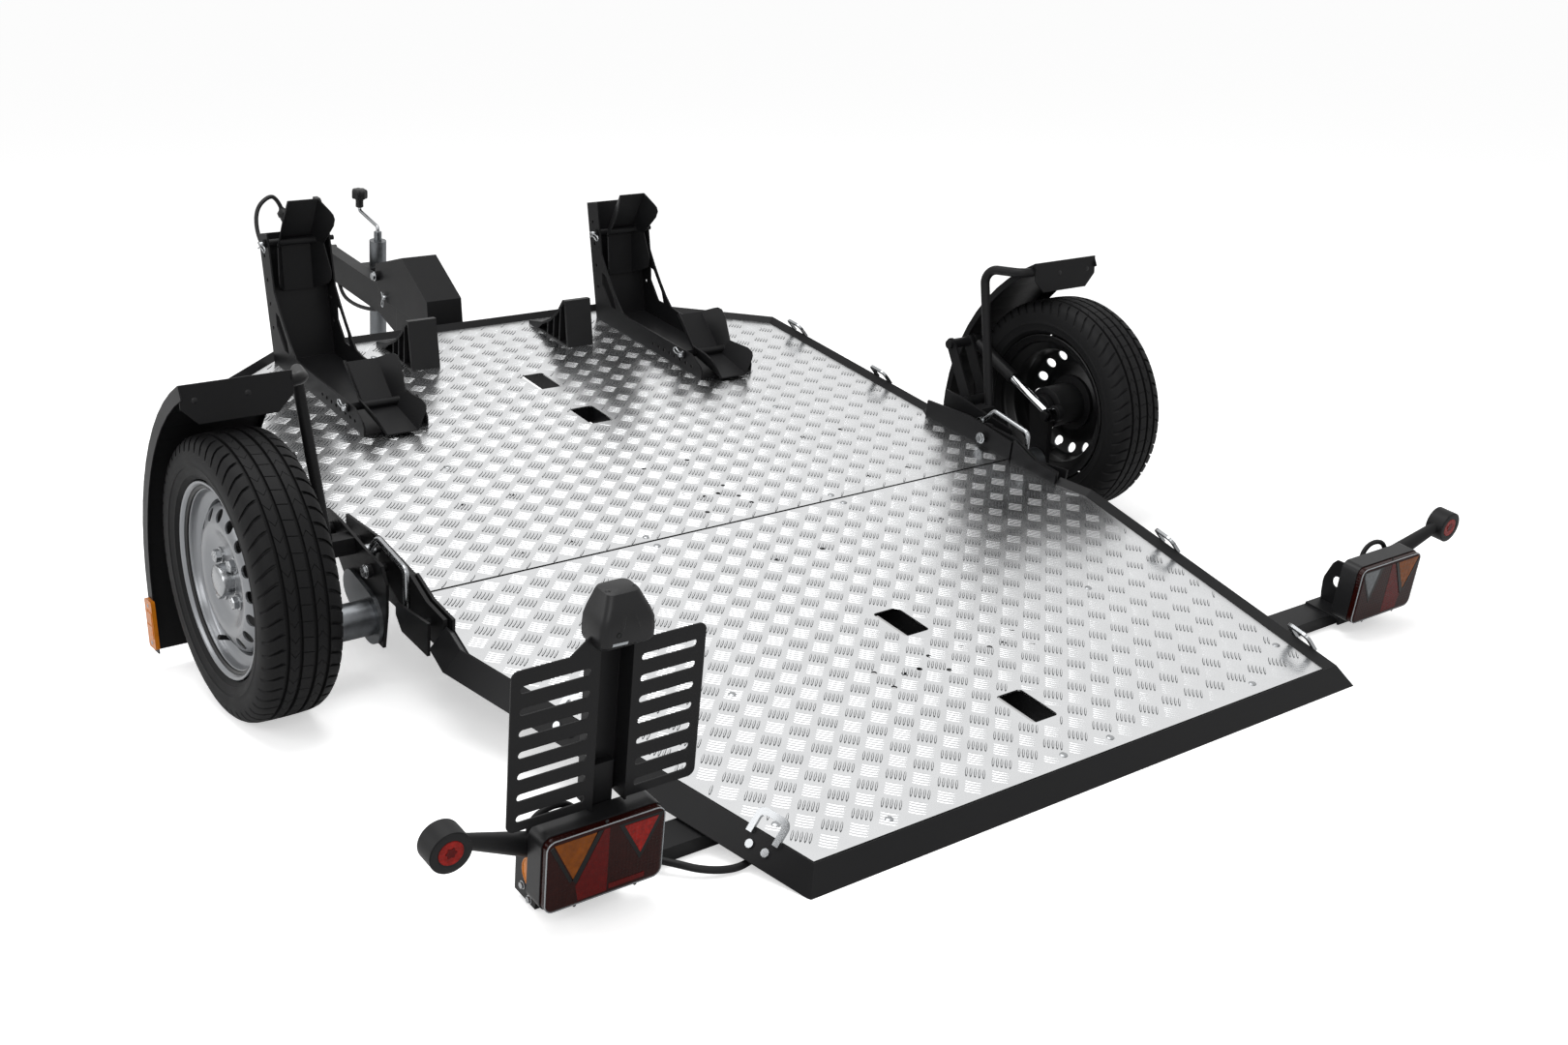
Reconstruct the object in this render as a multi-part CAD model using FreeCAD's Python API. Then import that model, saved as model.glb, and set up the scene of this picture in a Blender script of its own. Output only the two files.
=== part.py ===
import FreeCAD, Part
import math
import os

# Folding motorcycle trailer, in millimetres. World frame: origin on the ground under the middle
# of the rear lip, X forwards, Y to the left, Z up. The deck pieces are drawn in deck coordinates,
# with x forwards from the plate's rear edge, y to the left and h up from the plate's top face.
# The trailer stands tipped back: its rear lip lies on the ground and its jack holds the drawbar.

Vector = FreeCAD.Vector

# Stance
TILT_DEG = 9.0
GROUND_CUT = 1.2

# Deck outline, half widths and stations
REAR_HALF_WIDTH = 611.0
HINGE_HALF_WIDTH = 756.0
WIDE_STEP = 16.0
SHOULDER_STEP = 28.0
NOSE_HALF_WIDTH = 475.0
SEAM_X = 1016.0
SEAM_GAP = 6.0
BRACKET_BACK = 153.0
BRACKET_AHEAD = 296.0
STEP_BACK = 83.0
STEP_AHEAD = 30.0
SIDE_L = 683.0
NOSE_L = 260.0
WIDE_HALF_WIDTH = HINGE_HALF_WIDTH + WIDE_STEP
SHOULDER_HALF_WIDTH = WIDE_HALF_WIDTH + SHOULDER_STEP
REAR_BRACKET_X = SEAM_X - BRACKET_BACK
WIDE_X = REAR_BRACKET_X - STEP_BACK
FRONT_BRACKET_X = SEAM_X + BRACKET_AHEAD
FRONT_WIDE_X = FRONT_BRACKET_X + STEP_AHEAD
SHOULDER_X = FRONT_WIDE_X + SIDE_L
NOSE_X = SHOULDER_X + NOSE_L

# Tread plates and the rim round them
PLATE_T = 3.0
SHEET_T = 3.0
RIM_OUT = 18.0
RIM_UP = 13.0
SKIRT_OUT = 50.0
SKIRT_DOWN = 24.0
LEDGE = 30.0
BOTTOM_RETURN = 25.0
SILL_W = 40.0
SILL_H = 60.0
SILL_RUN = 60.0
BEAM_H = 40.0
BEAM_W = 40.0
BEAM_END_GAP = 12.0
SPINE_Y = 55.0
SPINE_START_X = 130.0
REAR_BEAM_BACKS = (716.0, 376.0)
FRONT_BEAM_AHEADS = (314.0, 704.0, 1084.0)

# Slots and fixing holes in the plates
SLOT_L = 98.0
SLOT_W = 61.0
SLOT_CORNER_R = 8.0
REAR_SLOT_XS = (174.0, 517.0)
FRONT_SLOT_AHEADS = (629.0, 864.0)
HOLE_R = 5.5
HOLE_ROW_YS = (57.5, 384.5, 498.5)
HOLE_ROW_BACK = 182.0
HOLE_ROW_AHEADS = (65.0, 312.0)
REAR_GROUP_X = 363.0
REAR_GROUP_Y = 105.0
REAR_GROUP_HALVES = (28.3, 65.6)
FRONT_GROUP_AHEAD = 133.5
FRONT_GROUP_HALVES = (29.5, 52.0)
GROUP_INNER_Y = 18.0

# Fold brackets beside the seam
PIVOT_AHEAD = 90.0
PIVOT_H = 21.0
PIVOT_BOLT_R = 8.0
RUNNING_FIT = 0.08
BRACKET_T = 6.0
PLATE_CLEAR = 5.0
FOLD_PLATE_T = 8.0
LATCH_CLEAR = 25.0
SPACER_R = 10.0
LATCH_AHEAD = 44.0
LATCH_RISE = 17.0
LATCH_ROD_R = 6.0
LATCH_OFF = 12.0
BOLT_HEAD_R = 13.0
BOLT_HEAD_T = 9.0
PIVOT_X = SEAM_X + PIVOT_AHEAD
LATCH_X = PIVOT_X + LATCH_AHEAD
LATCH_H = PIVOT_H + LATCH_RISE
FOLD_PLATE_IN = HINGE_HALF_WIDTH + BRACKET_T + PLATE_CLEAR
OUTER_PLATE_IN = FOLD_PLATE_IN + FOLD_PLATE_T + LATCH_CLEAR
LATCH_Y = OUTER_PLATE_IN - LATCH_OFF
BRACKET_OUT = OUTER_PLATE_IN + BRACKET_T

# Masts, dampers and swing arms, from the bracket outwards
MAST_OFF = 46.0
MAST_GAP = 57.0
MAST_BAR_W = 30.0
MAST_BAR_T = 6.0
MAST_FOOT_R = 12.0
DAMPER_EYE_HALF = 11.0
DAMPER_EYE_R = 16.0
DAMPER_OFF = 10.0
STUD_R = 7.0
STUD_PLAY = 2.0
STUD_HEAD_R = 11.0
BARREL_R = 15.5
BARREL_BORE_R = 11.0
BARREL_L = 155.0
BARREL_EYE_GAP = 15.0
DAMPER_ROD_R = 10.0
ARM_OFF = 3.0
ARM_T = 16.0
ARM_AXLE_R = 25.0
ARM_HUB_R = 34.0
ARM_STUB_R = 20.0
AXLE_R = 35.0
AXLE_BORE_R = 31.0
AXLE_BUSH_L = 16.0
AXLE_GAP = 4.0
AXLE_BACK = 5.4
AXLE_DROP = 94.4
MAST_INNER = BRACKET_OUT + MAST_OFF
MAST_OUTER = MAST_INNER + MAST_GAP
DAMPER_Y = MAST_OUTER + MAST_BAR_T + DAMPER_OFF + DAMPER_EYE_HALF
ARM_IN = DAMPER_Y + DAMPER_EYE_HALF + ARM_OFF
AXLE_END = ARM_IN - AXLE_GAP

# Wheels
TYRE_R = 262.0
TYRE_W = 145.0
RIM_R = 180.0
RIM_SEAT_R = 165.0
RIM_W = 122.0
SPINDLE_R = 15.0
HUB_OFF = 6.0
HUB_L = 90.0
TRACK_OFF = 58.0
HUB_R = 50.0
HUB_FLANGE_R = 68.0
WHEEL_BOLT_R = 49.0
VENT_COUNT = 16
VENT_R = 11.5
VENT_PCR = 118.0
HUB_IN = ARM_IN + ARM_T + HUB_OFF
HUB_OUT = HUB_IN + HUB_L
TRACK_HALF = HUB_IN + TRACK_OFF

# Mudguards
GUARD_INWARD = 112.0
GUARD_OUTWARD = 90.0
SIDE_REFLECTOR_W = 38.0
SIDE_REFLECTOR_H = 98.0
SIDE_REFLECTOR_T = 8.0
GUARD_T = 2.5
GUARD_R = 500.0
GUARD_BACK = 186.0
GUARD_MID_DROP = 105.0
GUARD_LIP_DEG = 67.6
GUARD_LIP_H = 72.0
GUARD_LIP_CORNER = 30.0
GUARD_FLANGE = 26.0
GUARD_INNER_FLANGE = 16.0
GUARD_FOOT_H = 37.0
GUARD_TUBE_R = 11.0
GUARD_IN = TRACK_HALF - GUARD_INWARD
GUARD_OUT = TRACK_HALF + GUARD_OUTWARD

# Wheel chocks on the front deck
CHOCK_Y = 452.0
CHOCK_W = 156.0
CHOCK_T = 4.0
CHOCK_AHEAD = 719.0
CHOCK_L = 500.0
CHOCK_SIDE_H = 50.0
CHOCK_TOP_H = 298.0
CHOCK_LEAN_DEG = 14.5
CHOCK_FLANGE = 52.0
CHOCK_HOLE_R = 4.5
CHOCK_HOLE_PITCH = 25.0
COLUMN_HOLE_PITCH = 57.0
COLUMN_HOLE_LOW = 114.0
LOWER_PIN_IN = 83.0
LOWER_PIN_H = 38.0
UPPER_PIN_OFF = 34.0
CRADLE_PIN_R = 6.0
CRADLE_TUBE_R = 9.0
CRADLE_HALF = 36.0
CRADLE_WING = 56.0
CRADLE_WING_DEG = 60.0
CRADLE_T = 3.0
FLAP_L = 118.0
CHOCK_REAR_X = SEAM_X + CHOCK_AHEAD
CHOCK_FOOT_X = CHOCK_REAR_X + CHOCK_L
LOWER_PIN = (CHOCK_REAR_X + LOWER_PIN_IN, LOWER_PIN_H)

# Wedge blocks
WEDGE_AHEAD = 1041.0
WEDGE_Y = 218.0
WEDGE_W = 74.0
WEDGE_L = 205.0
WEDGE_H = 118.0
WEDGE_WALL = 5.0

# Lashing loops on the rims
LOOP_W = 64.0
LOOP_UP = 60.0
LOOP_FOOT = 15.5
LOOP_T = 6.0
LOOP_BAR = 11.0
LOOP_BOLT_R = 7.0
REAR_LOOP_XS = (80.0, 503.0)
FRONT_LOOP_AHEADS = (519.0, 893.0)

# Drawbar, hinge housing and jack
BAR_HALF = 20.0
BAR_TOP = -22.0
BAR_DEPTH = 80.0
BAR_WALL = 3.0
BAR_PIVOT_AHEAD = 405.0
BAR_PIVOT_H = 26.0
BAR_PIVOT_R = 8.0
BAR_BACK = 90.0
BAR_AHEAD = 440.0
BAR_BOSS_R = 20.0
HOUSING_HALF = 50.0
HOUSING_T = 4.0
CHEEK_IN = 25.5
CHEEK_T = 8.0
JACK_AHEAD = 260.0
JACK_Y = -72.0
JACK_TUBE_R = 24.0
JACK_BORE_R = 21.0
JACK_LEG_R = 20.0
JACK_TOP = 34.0
JACK_BOTTOM = -270.0
JACK_FOOT_R = 45.0
JACK_TRAVEL = 180.0
NECK_R = 11.0
NECK_TOP = 66.0
CRANK_STEM_R = 8.0
CRANK_ROD_R = 5.0
CRANK_THROW = 122.0
KNOB_R = 17.0
KNOB_L = 26.0
BAR_PIVOT_X = NOSE_X + BAR_PIVOT_AHEAD
BAR_REAR_X = BAR_PIVOT_X - BAR_BACK
BAR_FRONT_X = BAR_PIVOT_X + BAR_AHEAD
JACK_X = BAR_PIVOT_X + JACK_AHEAD

# Coupling
BALL_SOCKET_R = 25.2
SOCKET_DEPTH = 14.0
COUPLING_AHEAD = 200.0
COUPLING_MOUTH_H = -88.0
HANDLE_AHEAD = 102.0
HANDLE_H = -14.0
COUPLING_X = BAR_FRONT_X + COUPLING_AHEAD
HANDLE_X = BAR_FRONT_X + HANDLE_AHEAD

# Rear lamps and number plate holder, in deck coordinates
ARM_X = 195.0
ARM_W = 60.0
ARM_TOP = -28.0
ARM_H = 26.0
ARM_END = 988.0
LAMP_Y = 920.0
LAMP_FACE_X = 90.0
LAMP_W = 198.0
LAMP_H = 124.0
LAMP_D = 50.0
LENS_D = 14.0
LAMP_CORNER_R = 16.0
LAMP_MID_H = 56.0
MARKER_X = 137.0
MARKER_Y = 1148.0
MARKER_H = 132.0
MARKER_R = 32.0
MARKER_L = 36.0
REFLECTOR_R = 26.0
REFLECTOR_T = 7.0
REFLECTOR_H = 8.0
HOLDER_X = 125.0
HOLDER_LOW_H = 127.0
HOLDER_T = 3.0
HOLDER_COLUMN = (870.0, 929.0)
HOLDER_LEAF_INNER = 753.0
HOLDER_LEAF_OUTER = 1062.0
HOLDER_COLUMN_D = 37.0
HOLDER_SLOTS = 7
HOLDER_SLOT_PITCH = 34.0
HOLDER_SLOT_H = 12.0
HOLDER_EDGE = 14.0
PLATE_LAMP_H = 86.0
HOLDER_TOP_H = HOLDER_LOW_H + 2.0 * HOLDER_EDGE + HOLDER_SLOTS * HOLDER_SLOT_PITCH - HOLDER_SLOT_H

TILT = math.radians(TILT_DEG)
NODES = {}
DECK_Z = SKIRT_DOWN * math.cos(TILT) + SKIRT_OUT * math.sin(TILT) - GROUND_CUT


def skirt_contact():
    """Deck x and h of the middle of the flat that the ground cuts on the rear skirt's edge."""
    inner = (SKIRT_DOWN * math.cos(TILT) - DECK_Z) / math.sin(TILT)
    rise = (RIM_UP + SKIRT_DOWN) * math.cos(TILT) + (SKIRT_OUT - RIM_OUT) * math.sin(TILT)
    share = GROUND_CUT / rise
    outer = -SKIRT_OUT + share * (SKIRT_OUT - RIM_OUT)
    outer_h = -SKIRT_DOWN + share * (RIM_UP + SKIRT_DOWN)
    return (inner + outer) / 2.0, (outer_h - SKIRT_DOWN) / 2.0


CONTACT_X, CONTACT_H = skirt_contact()
DECK_X = CONTACT_H * math.sin(TILT) - CONTACT_X * math.cos(TILT)


def to_world(x, h):
    """World x and z of a deck x and h."""
    return (DECK_X + x * math.cos(TILT) - h * math.sin(TILT), DECK_Z + x * math.sin(TILT) + h * math.cos(TILT))


# The axle sits under the fold pivot, and the wheel stands on the ground above it
WHEEL_X, AXLE_Z = to_world(PIVOT_X - AXLE_BACK, PIVOT_H - AXLE_DROP)
DAMPER_LOW = (WHEEL_X - 48.0, TYRE_R - 3.0)
DAMPER_TOP = (WHEEL_X + 218.0, TYRE_R + 136.0)
MAST_FOOT = (WHEEL_X + 155.0, TYRE_R + 3.0)


def on_deck(shape):
    """Tip a shape drawn in deck coordinates into its world place."""
    out = shape.copy()
    turn = FreeCAD.Rotation(Vector(0, 1, 0), -TILT_DEG)
    out.Placement = FreeCAD.Placement(Vector(DECK_X, 0, DECK_Z), turn).multiply(out.Placement)
    return out


def keep(name, *shapes):
    """Add solids to a named node."""
    for shape in shapes:
        NODES.setdefault(name, []).extend(shape.Solids)


def mirrored(shape):
    return shape.mirror(Vector(0, 0, 0), Vector(0, 1, 0))


def both_sides(name, *shapes):
    """Keep left hand shapes as NAME_left and their mirror images as NAME_right."""
    for shape in shapes:
        keep(name + "_left", shape)
        keep(name + "_right", mirrored(shape))


def box(x0, x1, y0, y1, z0, z1):
    return Part.makeBox(x1 - x0, y1 - y0, z1 - z0, Vector(x0, y0, z0))


def rod(start, end, radius):
    """Round bar from point to point."""
    a = Vector(*start)
    b = Vector(*end)
    return Part.makeCylinder(radius, (b - a).Length, a, b - a)


def pipe(start, end, outer, inner):
    """Round tube from point to point."""
    return rod(start, end, outer).cut(rod(start, end, inner))


def cross_rod(x, z, y0, y1, radius):
    """Round bar along Y."""
    return rod((x, y0, z), (x, y1, z), radius)


def face_of(points):
    return Part.Face(Part.makePolygon(points + [points[0]]))


def side_plate(outline, y0, y1):
    """Flat plate with an x, z outline between two y values."""
    face = face_of([Vector(x, y0, z) for x, z in outline])
    return face.extrude(Vector(0, y1 - y0, 0))


def flat_plate(outline, z0, z1):
    """Flat plate with an x, y outline between two heights."""
    face = face_of([Vector(x, y, z0) for x, y in outline])
    return face.extrude(Vector(0, 0, z1 - z0))


def fused(first, *others):
    out = first
    for other in others:
        out = out.fuse(other)
    return out.removeSplitter()


def strap(ends, radii, y0, y1):
    """Flat link with round ends about two x, z points."""
    (xa, za), (xb, zb) = ends
    ra, rb = radii
    length = math.hypot(xb - xa, zb - za)
    along = math.atan2(zb - za, xb - xa)
    spread = math.acos((ra - rb) / length)
    corners = []
    for x, z, r, side in ((xa, za, ra, 1), (xa, za, ra, -1), (xb, zb, rb, -1), (xb, zb, rb, 1)):
        turn = along + side * spread
        corners.append((x + r * math.cos(turn), z + r * math.sin(turn)))
    return fused(side_plate(corners, y0, y1), cross_rod(xa, za, y0, y1, ra), cross_rod(xb, zb, y0, y1, rb))


def bent_rod(points, radius, bend):
    """Round bar along straight runs joined by tangent arcs."""
    pts = [Vector(*p) for p in points]
    edges = []
    last = pts[0]
    for i in range(1, len(pts) - 1):
        back = (pts[i - 1] - pts[i]).normalize()
        ahead = (pts[i + 1] - pts[i]).normalize()
        half = back.getAngle(ahead) / 2.0
        reach = bend / math.tan(half)
        start = pts[i] + back * reach
        end = pts[i] + ahead * reach
        middle = pts[i] + (back + ahead).normalize() * (bend / math.sin(half) - bend)
        if (start - last).Length > 0.001:
            edges.append(Part.LineSegment(last, start).toShape())
        edges.append(Part.Arc(start, middle, end).toShape())
        last = end
    edges.append(Part.LineSegment(last, pts[-1]).toShape())
    ring = Part.Wire(Part.makeCircle(radius, pts[0], pts[1] - pts[0]))
    return Part.Wire(edges).makePipeShell([ring], True, True)


def ring_about_y(outline, x, z):
    """Solid of revolution about a line along Y, from a radius, y outline."""
    face = face_of([Vector(x + r, y, z) for r, y in outline])
    return face.revolve(Vector(x, 0, z), Vector(0, 1, 0), 360)


def rim_profile():
    """Folded sheet section of the deck's edge: outward distance from the plate, and height."""
    t = SHEET_T
    return [(-LEDGE, -PLATE_T), (0.5, -PLATE_T), (RIM_OUT - 1.0, RIM_UP), (RIM_OUT, RIM_UP),
            (SKIRT_OUT, -SKIRT_DOWN), (SKIRT_OUT - BOTTOM_RETURN, -SKIRT_DOWN),
            (SKIRT_OUT - BOTTOM_RETURN, t - SKIRT_DOWN), (SKIRT_OUT - 6.0, t - SKIRT_DOWN),
            (RIM_OUT - 1.2, RIM_UP - 6.0), (2.0, -PLATE_T - t), (-LEDGE, -PLATE_T - t)]


def unit(a, b):
    length = math.hypot(b[0] - a[0], b[1] - a[1])
    return (b[0] - a[0]) / length, (b[1] - a[1]) / length


def rim_run(corners):
    """Rim along an open line of plate corners, outward on the right hand of the run, mitred."""
    dirs = [unit(corners[i], corners[i + 1]) for i in range(len(corners) - 1)]
    outs = [(d[1], -d[0]) for d in dirs]
    miters = [outs[0]]
    for i in range(1, len(outs)):
        sx = outs[i - 1][0] + outs[i][0]
        sy = outs[i - 1][1] + outs[i][1]
        scale = 2.0 / (sx * sx + sy * sy)
        miters.append((sx * scale, sy * scale))
    miters.append(outs[-1])
    miters[0] = (0.0, 1.0 / outs[0][1])
    miters[-1] = (0.0, 1.0 / outs[-1][1])
    rings = []
    for corner, miter in zip(corners, miters):
        ring = [Vector(corner[0] + s * miter[0], corner[1] + s * miter[1], h) for s, h in rim_profile()]
        rings.append(Part.makePolygon(ring + [ring[0]]))
    runs = [Part.makeLoft([rings[i], rings[i + 1]], True, True) for i in range(len(rings) - 1)]
    return fused(*runs)


def rear_outline():
    """Rear plate corners from the left end of the seam round to the right end."""
    seam = SEAM_X - SEAM_GAP / 2.0
    left = [(seam, HINGE_HALF_WIDTH), (REAR_BRACKET_X, HINGE_HALF_WIDTH), (WIDE_X, WIDE_HALF_WIDTH),
            (0.0, REAR_HALF_WIDTH)]
    return left + [(x, -y) for x, y in reversed(left)]


def front_outline():
    """Front plate corners from the right end of the seam round to the left end."""
    seam = SEAM_X + SEAM_GAP / 2.0
    right = [(seam, -HINGE_HALF_WIDTH), (FRONT_BRACKET_X, -HINGE_HALF_WIDTH), (FRONT_WIDE_X, -WIDE_HALF_WIDTH),
             (SHOULDER_X, -SHOULDER_HALF_WIDTH), (NOSE_X, -NOSE_HALF_WIDTH)]
    return right + [(x, -y) for x, y in reversed(right)]


def half_width(outline, x):
    """Half width of a plate at a distance from the rear edge."""
    for (xa, ya), (xb, yb) in zip(outline, outline[1:]):
        if min(xa, xb) <= x <= max(xa, xb) and xa != xb and ya * yb > 0.0:
            return abs(ya + (yb - ya) * (x - xa) / (xb - xa))
    return 0.0


def hole_group(x, y, halves):
    """Centres of six fixing holes: four corners and two between them."""
    dx, dy = halves
    corners = [(x + sx * dx, y + sy * dy) for sx in (-1, 1) for sy in (-1, 1)]
    return corners + [(x, y - GROUP_INNER_Y), (x, y + GROUP_INNER_Y)]


def hole_row(x):
    return [(x, side * y) for y in HOLE_ROW_YS for side in (-1, 1)]


def slot_cutter(x):
    """Slot with rounded corners, on the middle line."""
    block = box(x - SLOT_L / 2, x + SLOT_L / 2, -SLOT_W / 2, SLOT_W / 2, -4 * PLATE_T, 4 * PLATE_T)
    upright = [e for e in block.Edges if abs(e.Length - 8 * PLATE_T) < 0.01]
    return block.makeFillet(SLOT_CORNER_R, upright)


def tread_plate(outline, slot_xs, holes):
    plate = flat_plate(outline, -PLATE_T, 0.0)
    for x in slot_xs:
        plate = plate.cut(slot_cutter(x))
    cutters = [rod((x, y, -4 * PLATE_T), (x, y, 4 * PLATE_T), HOLE_R) for x, y in holes]
    return plate.cut(Part.makeCompound(cutters))


def beam(x0, x1, y0, y1):
    """Channel under the plate along its longer side, mouth down."""
    t = SHEET_T
    low = -PLATE_T - t - BEAM_H
    solid = box(x0, x1, y0, y1, low, -PLATE_T)
    if x1 - x0 > y1 - y0:
        return solid.cut(box(x0, x1, y0 + t, y1 - t, low, -PLATE_T - t))
    return solid.cut(box(x0 + t, x1 - t, y0, y1, low, -PLATE_T - t))


def deck_frame(outline, sill_x, seam_x, cross_xs, spine_x):
    """Rim, sills beside the brackets, seam beam, cross beams and two spines in one weldment."""
    parts = [rim_run(outline[1:-1])]
    inner = HINGE_HALF_WIDTH - SILL_W
    for y0 in (inner, -HINGE_HALF_WIDTH):
        parts.append(box(sill_x[0], sill_x[1], y0, y0 + SILL_W, -PLATE_T - SILL_H, -PLATE_T))
    parts.append(beam(seam_x[0], seam_x[1], -HINGE_HALF_WIDTH, HINGE_HALF_WIDTH))
    for x in cross_xs:
        half = half_width(outline, x) - BEAM_END_GAP
        parts.append(beam(x - BEAM_W / 2, x + BEAM_W / 2, -half, half))
    for y in (-SPINE_Y, SPINE_Y):
        parts.append(beam(spine_x[0], spine_x[1], y - BEAM_W / 2, y + BEAM_W / 2))
    return fused(*parts)


def make_decks():
    rear = rear_outline()
    front = front_outline()
    seam = SEAM_X - SEAM_GAP / 2.0
    rear_frame = deck_frame(rear, (REAR_BRACKET_X - SILL_RUN, seam), (seam - BEAM_W, seam),
                            [SEAM_X - back for back in REAR_BEAM_BACKS], (SPINE_START_X, seam))
    below = box(-SEAM_X, 2 * SEAM_X, -2 * SEAM_X, 2 * SEAM_X, -SEAM_X, 0.0)
    keep("rear_frame", on_deck(rear_frame).cut(below))
    seam = SEAM_X + SEAM_GAP / 2.0
    front_frame = deck_frame(front, (seam, FRONT_WIDE_X + BEAM_W / 2), (seam, seam + BEAM_W),
                             [SEAM_X + ahead for ahead in FRONT_BEAM_AHEADS], (seam, NOSE_X))
    keep("front_frame", on_deck(front_frame))
    holes = hole_row(SEAM_X - HOLE_ROW_BACK)
    for y in (-REAR_GROUP_Y, REAR_GROUP_Y):
        holes += hole_group(REAR_GROUP_X, y, REAR_GROUP_HALVES)
    keep("rear_tread_plate", on_deck(tread_plate(rear, REAR_SLOT_XS, holes)))
    holes = hole_group(SEAM_X + FRONT_GROUP_AHEAD, 0.0, FRONT_GROUP_HALVES)
    for ahead in HOLE_ROW_AHEADS:
        holes += hole_row(SEAM_X + ahead)
    slots = [SEAM_X + ahead for ahead in FRONT_SLOT_AHEADS]
    keep("front_tread_plate", on_deck(tread_plate(front, slots, holes)))


def by_pivot(points):
    """Deck points from distances ahead of and above the fold pivot."""
    return [(PIVOT_X + dx, PIVOT_H + dh) for dx, dh in points]


def make_fold_brackets():
    """Pivot brackets of the front half, in one weldment a side with their bolts."""
    y = HINGE_HALF_WIDTH
    out = OUTER_PLATE_IN
    t = BRACKET_T
    rear = SEAM_GAP / 2.0 - PIVOT_AHEAD - 5.0
    inner = side_plate(by_pivot([(rear, -81), (206, -81), (206, 19), (55, 33), (rear, 22)]), y, y + t)
    outer = side_plate(by_pivot([(-66, -61), (-54, -139), (36, -139), (94, -81), (195, 9), (195, 45),
                                 (135, 45), (44, 35), (-46, 28), (-66, -1)]), out, out + t)
    spacers = [cross_rod(x, h, y + t, out, SPACER_R) for x, h in by_pivot([(144, -11), (84, -73)])]
    bolt = fused(cross_rod(PIVOT_X, PIVOT_H, y - BOLT_HEAD_T, out + t + BOLT_HEAD_T, PIVOT_BOLT_R),
                 cross_rod(PIVOT_X, PIVOT_H, y - BOLT_HEAD_T, y, BOLT_HEAD_R),
                 cross_rod(PIVOT_X, PIVOT_H, out + t, out + t + BOLT_HEAD_T, BOLT_HEAD_R))
    pin = cross_rod(LATCH_X, LATCH_H, y + t, out, STUD_R)
    both_sides("fold_bracket", on_deck(fused(inner, outer, bolt, pin, *spacers)))


def make_fold_plates():
    """Hinge plates of the rear half, bored to turn on the pivot bolts."""
    y = HINGE_HALF_WIDTH
    out = OUTER_PLATE_IN
    t = BRACKET_T
    seam = -PIVOT_AHEAD - SEAM_GAP / 2.0 - 5.0
    rear = -PIVOT_AHEAD - BRACKET_BACK
    step = side_plate(by_pivot([(rear, -81), (seam, -81), (seam, 29), (-166, 7), (rear, 3)]), y, y + t)
    inner_y = FOLD_PLATE_IN
    outer_y = FOLD_PLATE_IN + FOLD_PLATE_T
    arm = side_plate(by_pivot([(rear + 9, -65), (-106, -65), (-16, -33), (-16, 29), (-98, 29), (-166, 5),
                               (rear + 9, 1)]), inner_y, outer_y)
    arm = fused(arm, cross_rod(PIVOT_X, PIVOT_H, inner_y, outer_y, 32.0))
    hook = side_plate(by_pivot([(rear + 9, -65), (-131, -65), (-106, -41), (-106, -17), (rear + 9, 1)]), out, out + t)
    packing = box(PIVOT_X + rear + 17, PIVOT_X - 116, y + t, inner_y, PIVOT_H - 65, PIVOT_H - 21)
    tie = cross_rod(PIVOT_X - 181, PIVOT_H - 29, outer_y, out, STUD_R + 1.0)
    leaf = fused(step, arm, hook, packing, tie)
    bore = cross_rod(PIVOT_X, PIVOT_H, y, outer_y + t, PIVOT_BOLT_R + RUNNING_FIT)
    both_sides("fold_hinge_plate", on_deck(leaf.cut(bore)))


def make_latches():
    """Bent rod latches that turn on their pins and hook over the rear half's plates."""
    points = [(0.0, 0.0), (-38.0, 42.0), (-154.0, 30.0), (-160.0, -44.0)]
    bar = bent_rod([(LATCH_X + dx, LATCH_Y, LATCH_H + dh) for dx, dh in points], LATCH_ROD_R, 2 * LATCH_ROD_R)
    half = LATCH_OFF - 3.0
    eye = cross_rod(LATCH_X, LATCH_H, LATCH_Y - half, LATCH_Y + half, BOLT_HEAD_R)
    bore = cross_rod(LATCH_X, LATCH_H, LATCH_Y - 2 * half, LATCH_Y + 2 * half, STUD_R + RUNNING_FIT)
    both_sides("fold_latch", on_deck(fused(bar, eye).cut(bore)))


def make_axles():
    """Stub axle tubes on the brackets, with plain bushes in their ends."""
    base = BRACKET_OUT
    plate = strap([(WHEEL_X, AXLE_Z), (WHEEL_X + 2 * AXLE_R, AXLE_Z + 40.0)], (1.5 * AXLE_R, AXLE_R), base, base + 8.0)
    tube = cross_rod(WHEEL_X, AXLE_Z, base, AXLE_END, AXLE_R)
    bore = cross_rod(WHEEL_X, AXLE_Z, base - 1.0, AXLE_END - AXLE_BUSH_L, AXLE_BORE_R)
    bush_bore = cross_rod(WHEEL_X, AXLE_Z, base, AXLE_END + 1.0, ARM_STUB_R + RUNNING_FIT)
    both_sides("axle_tube", fused(plate, tube).cut(bore).cut(bush_bore))


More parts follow.
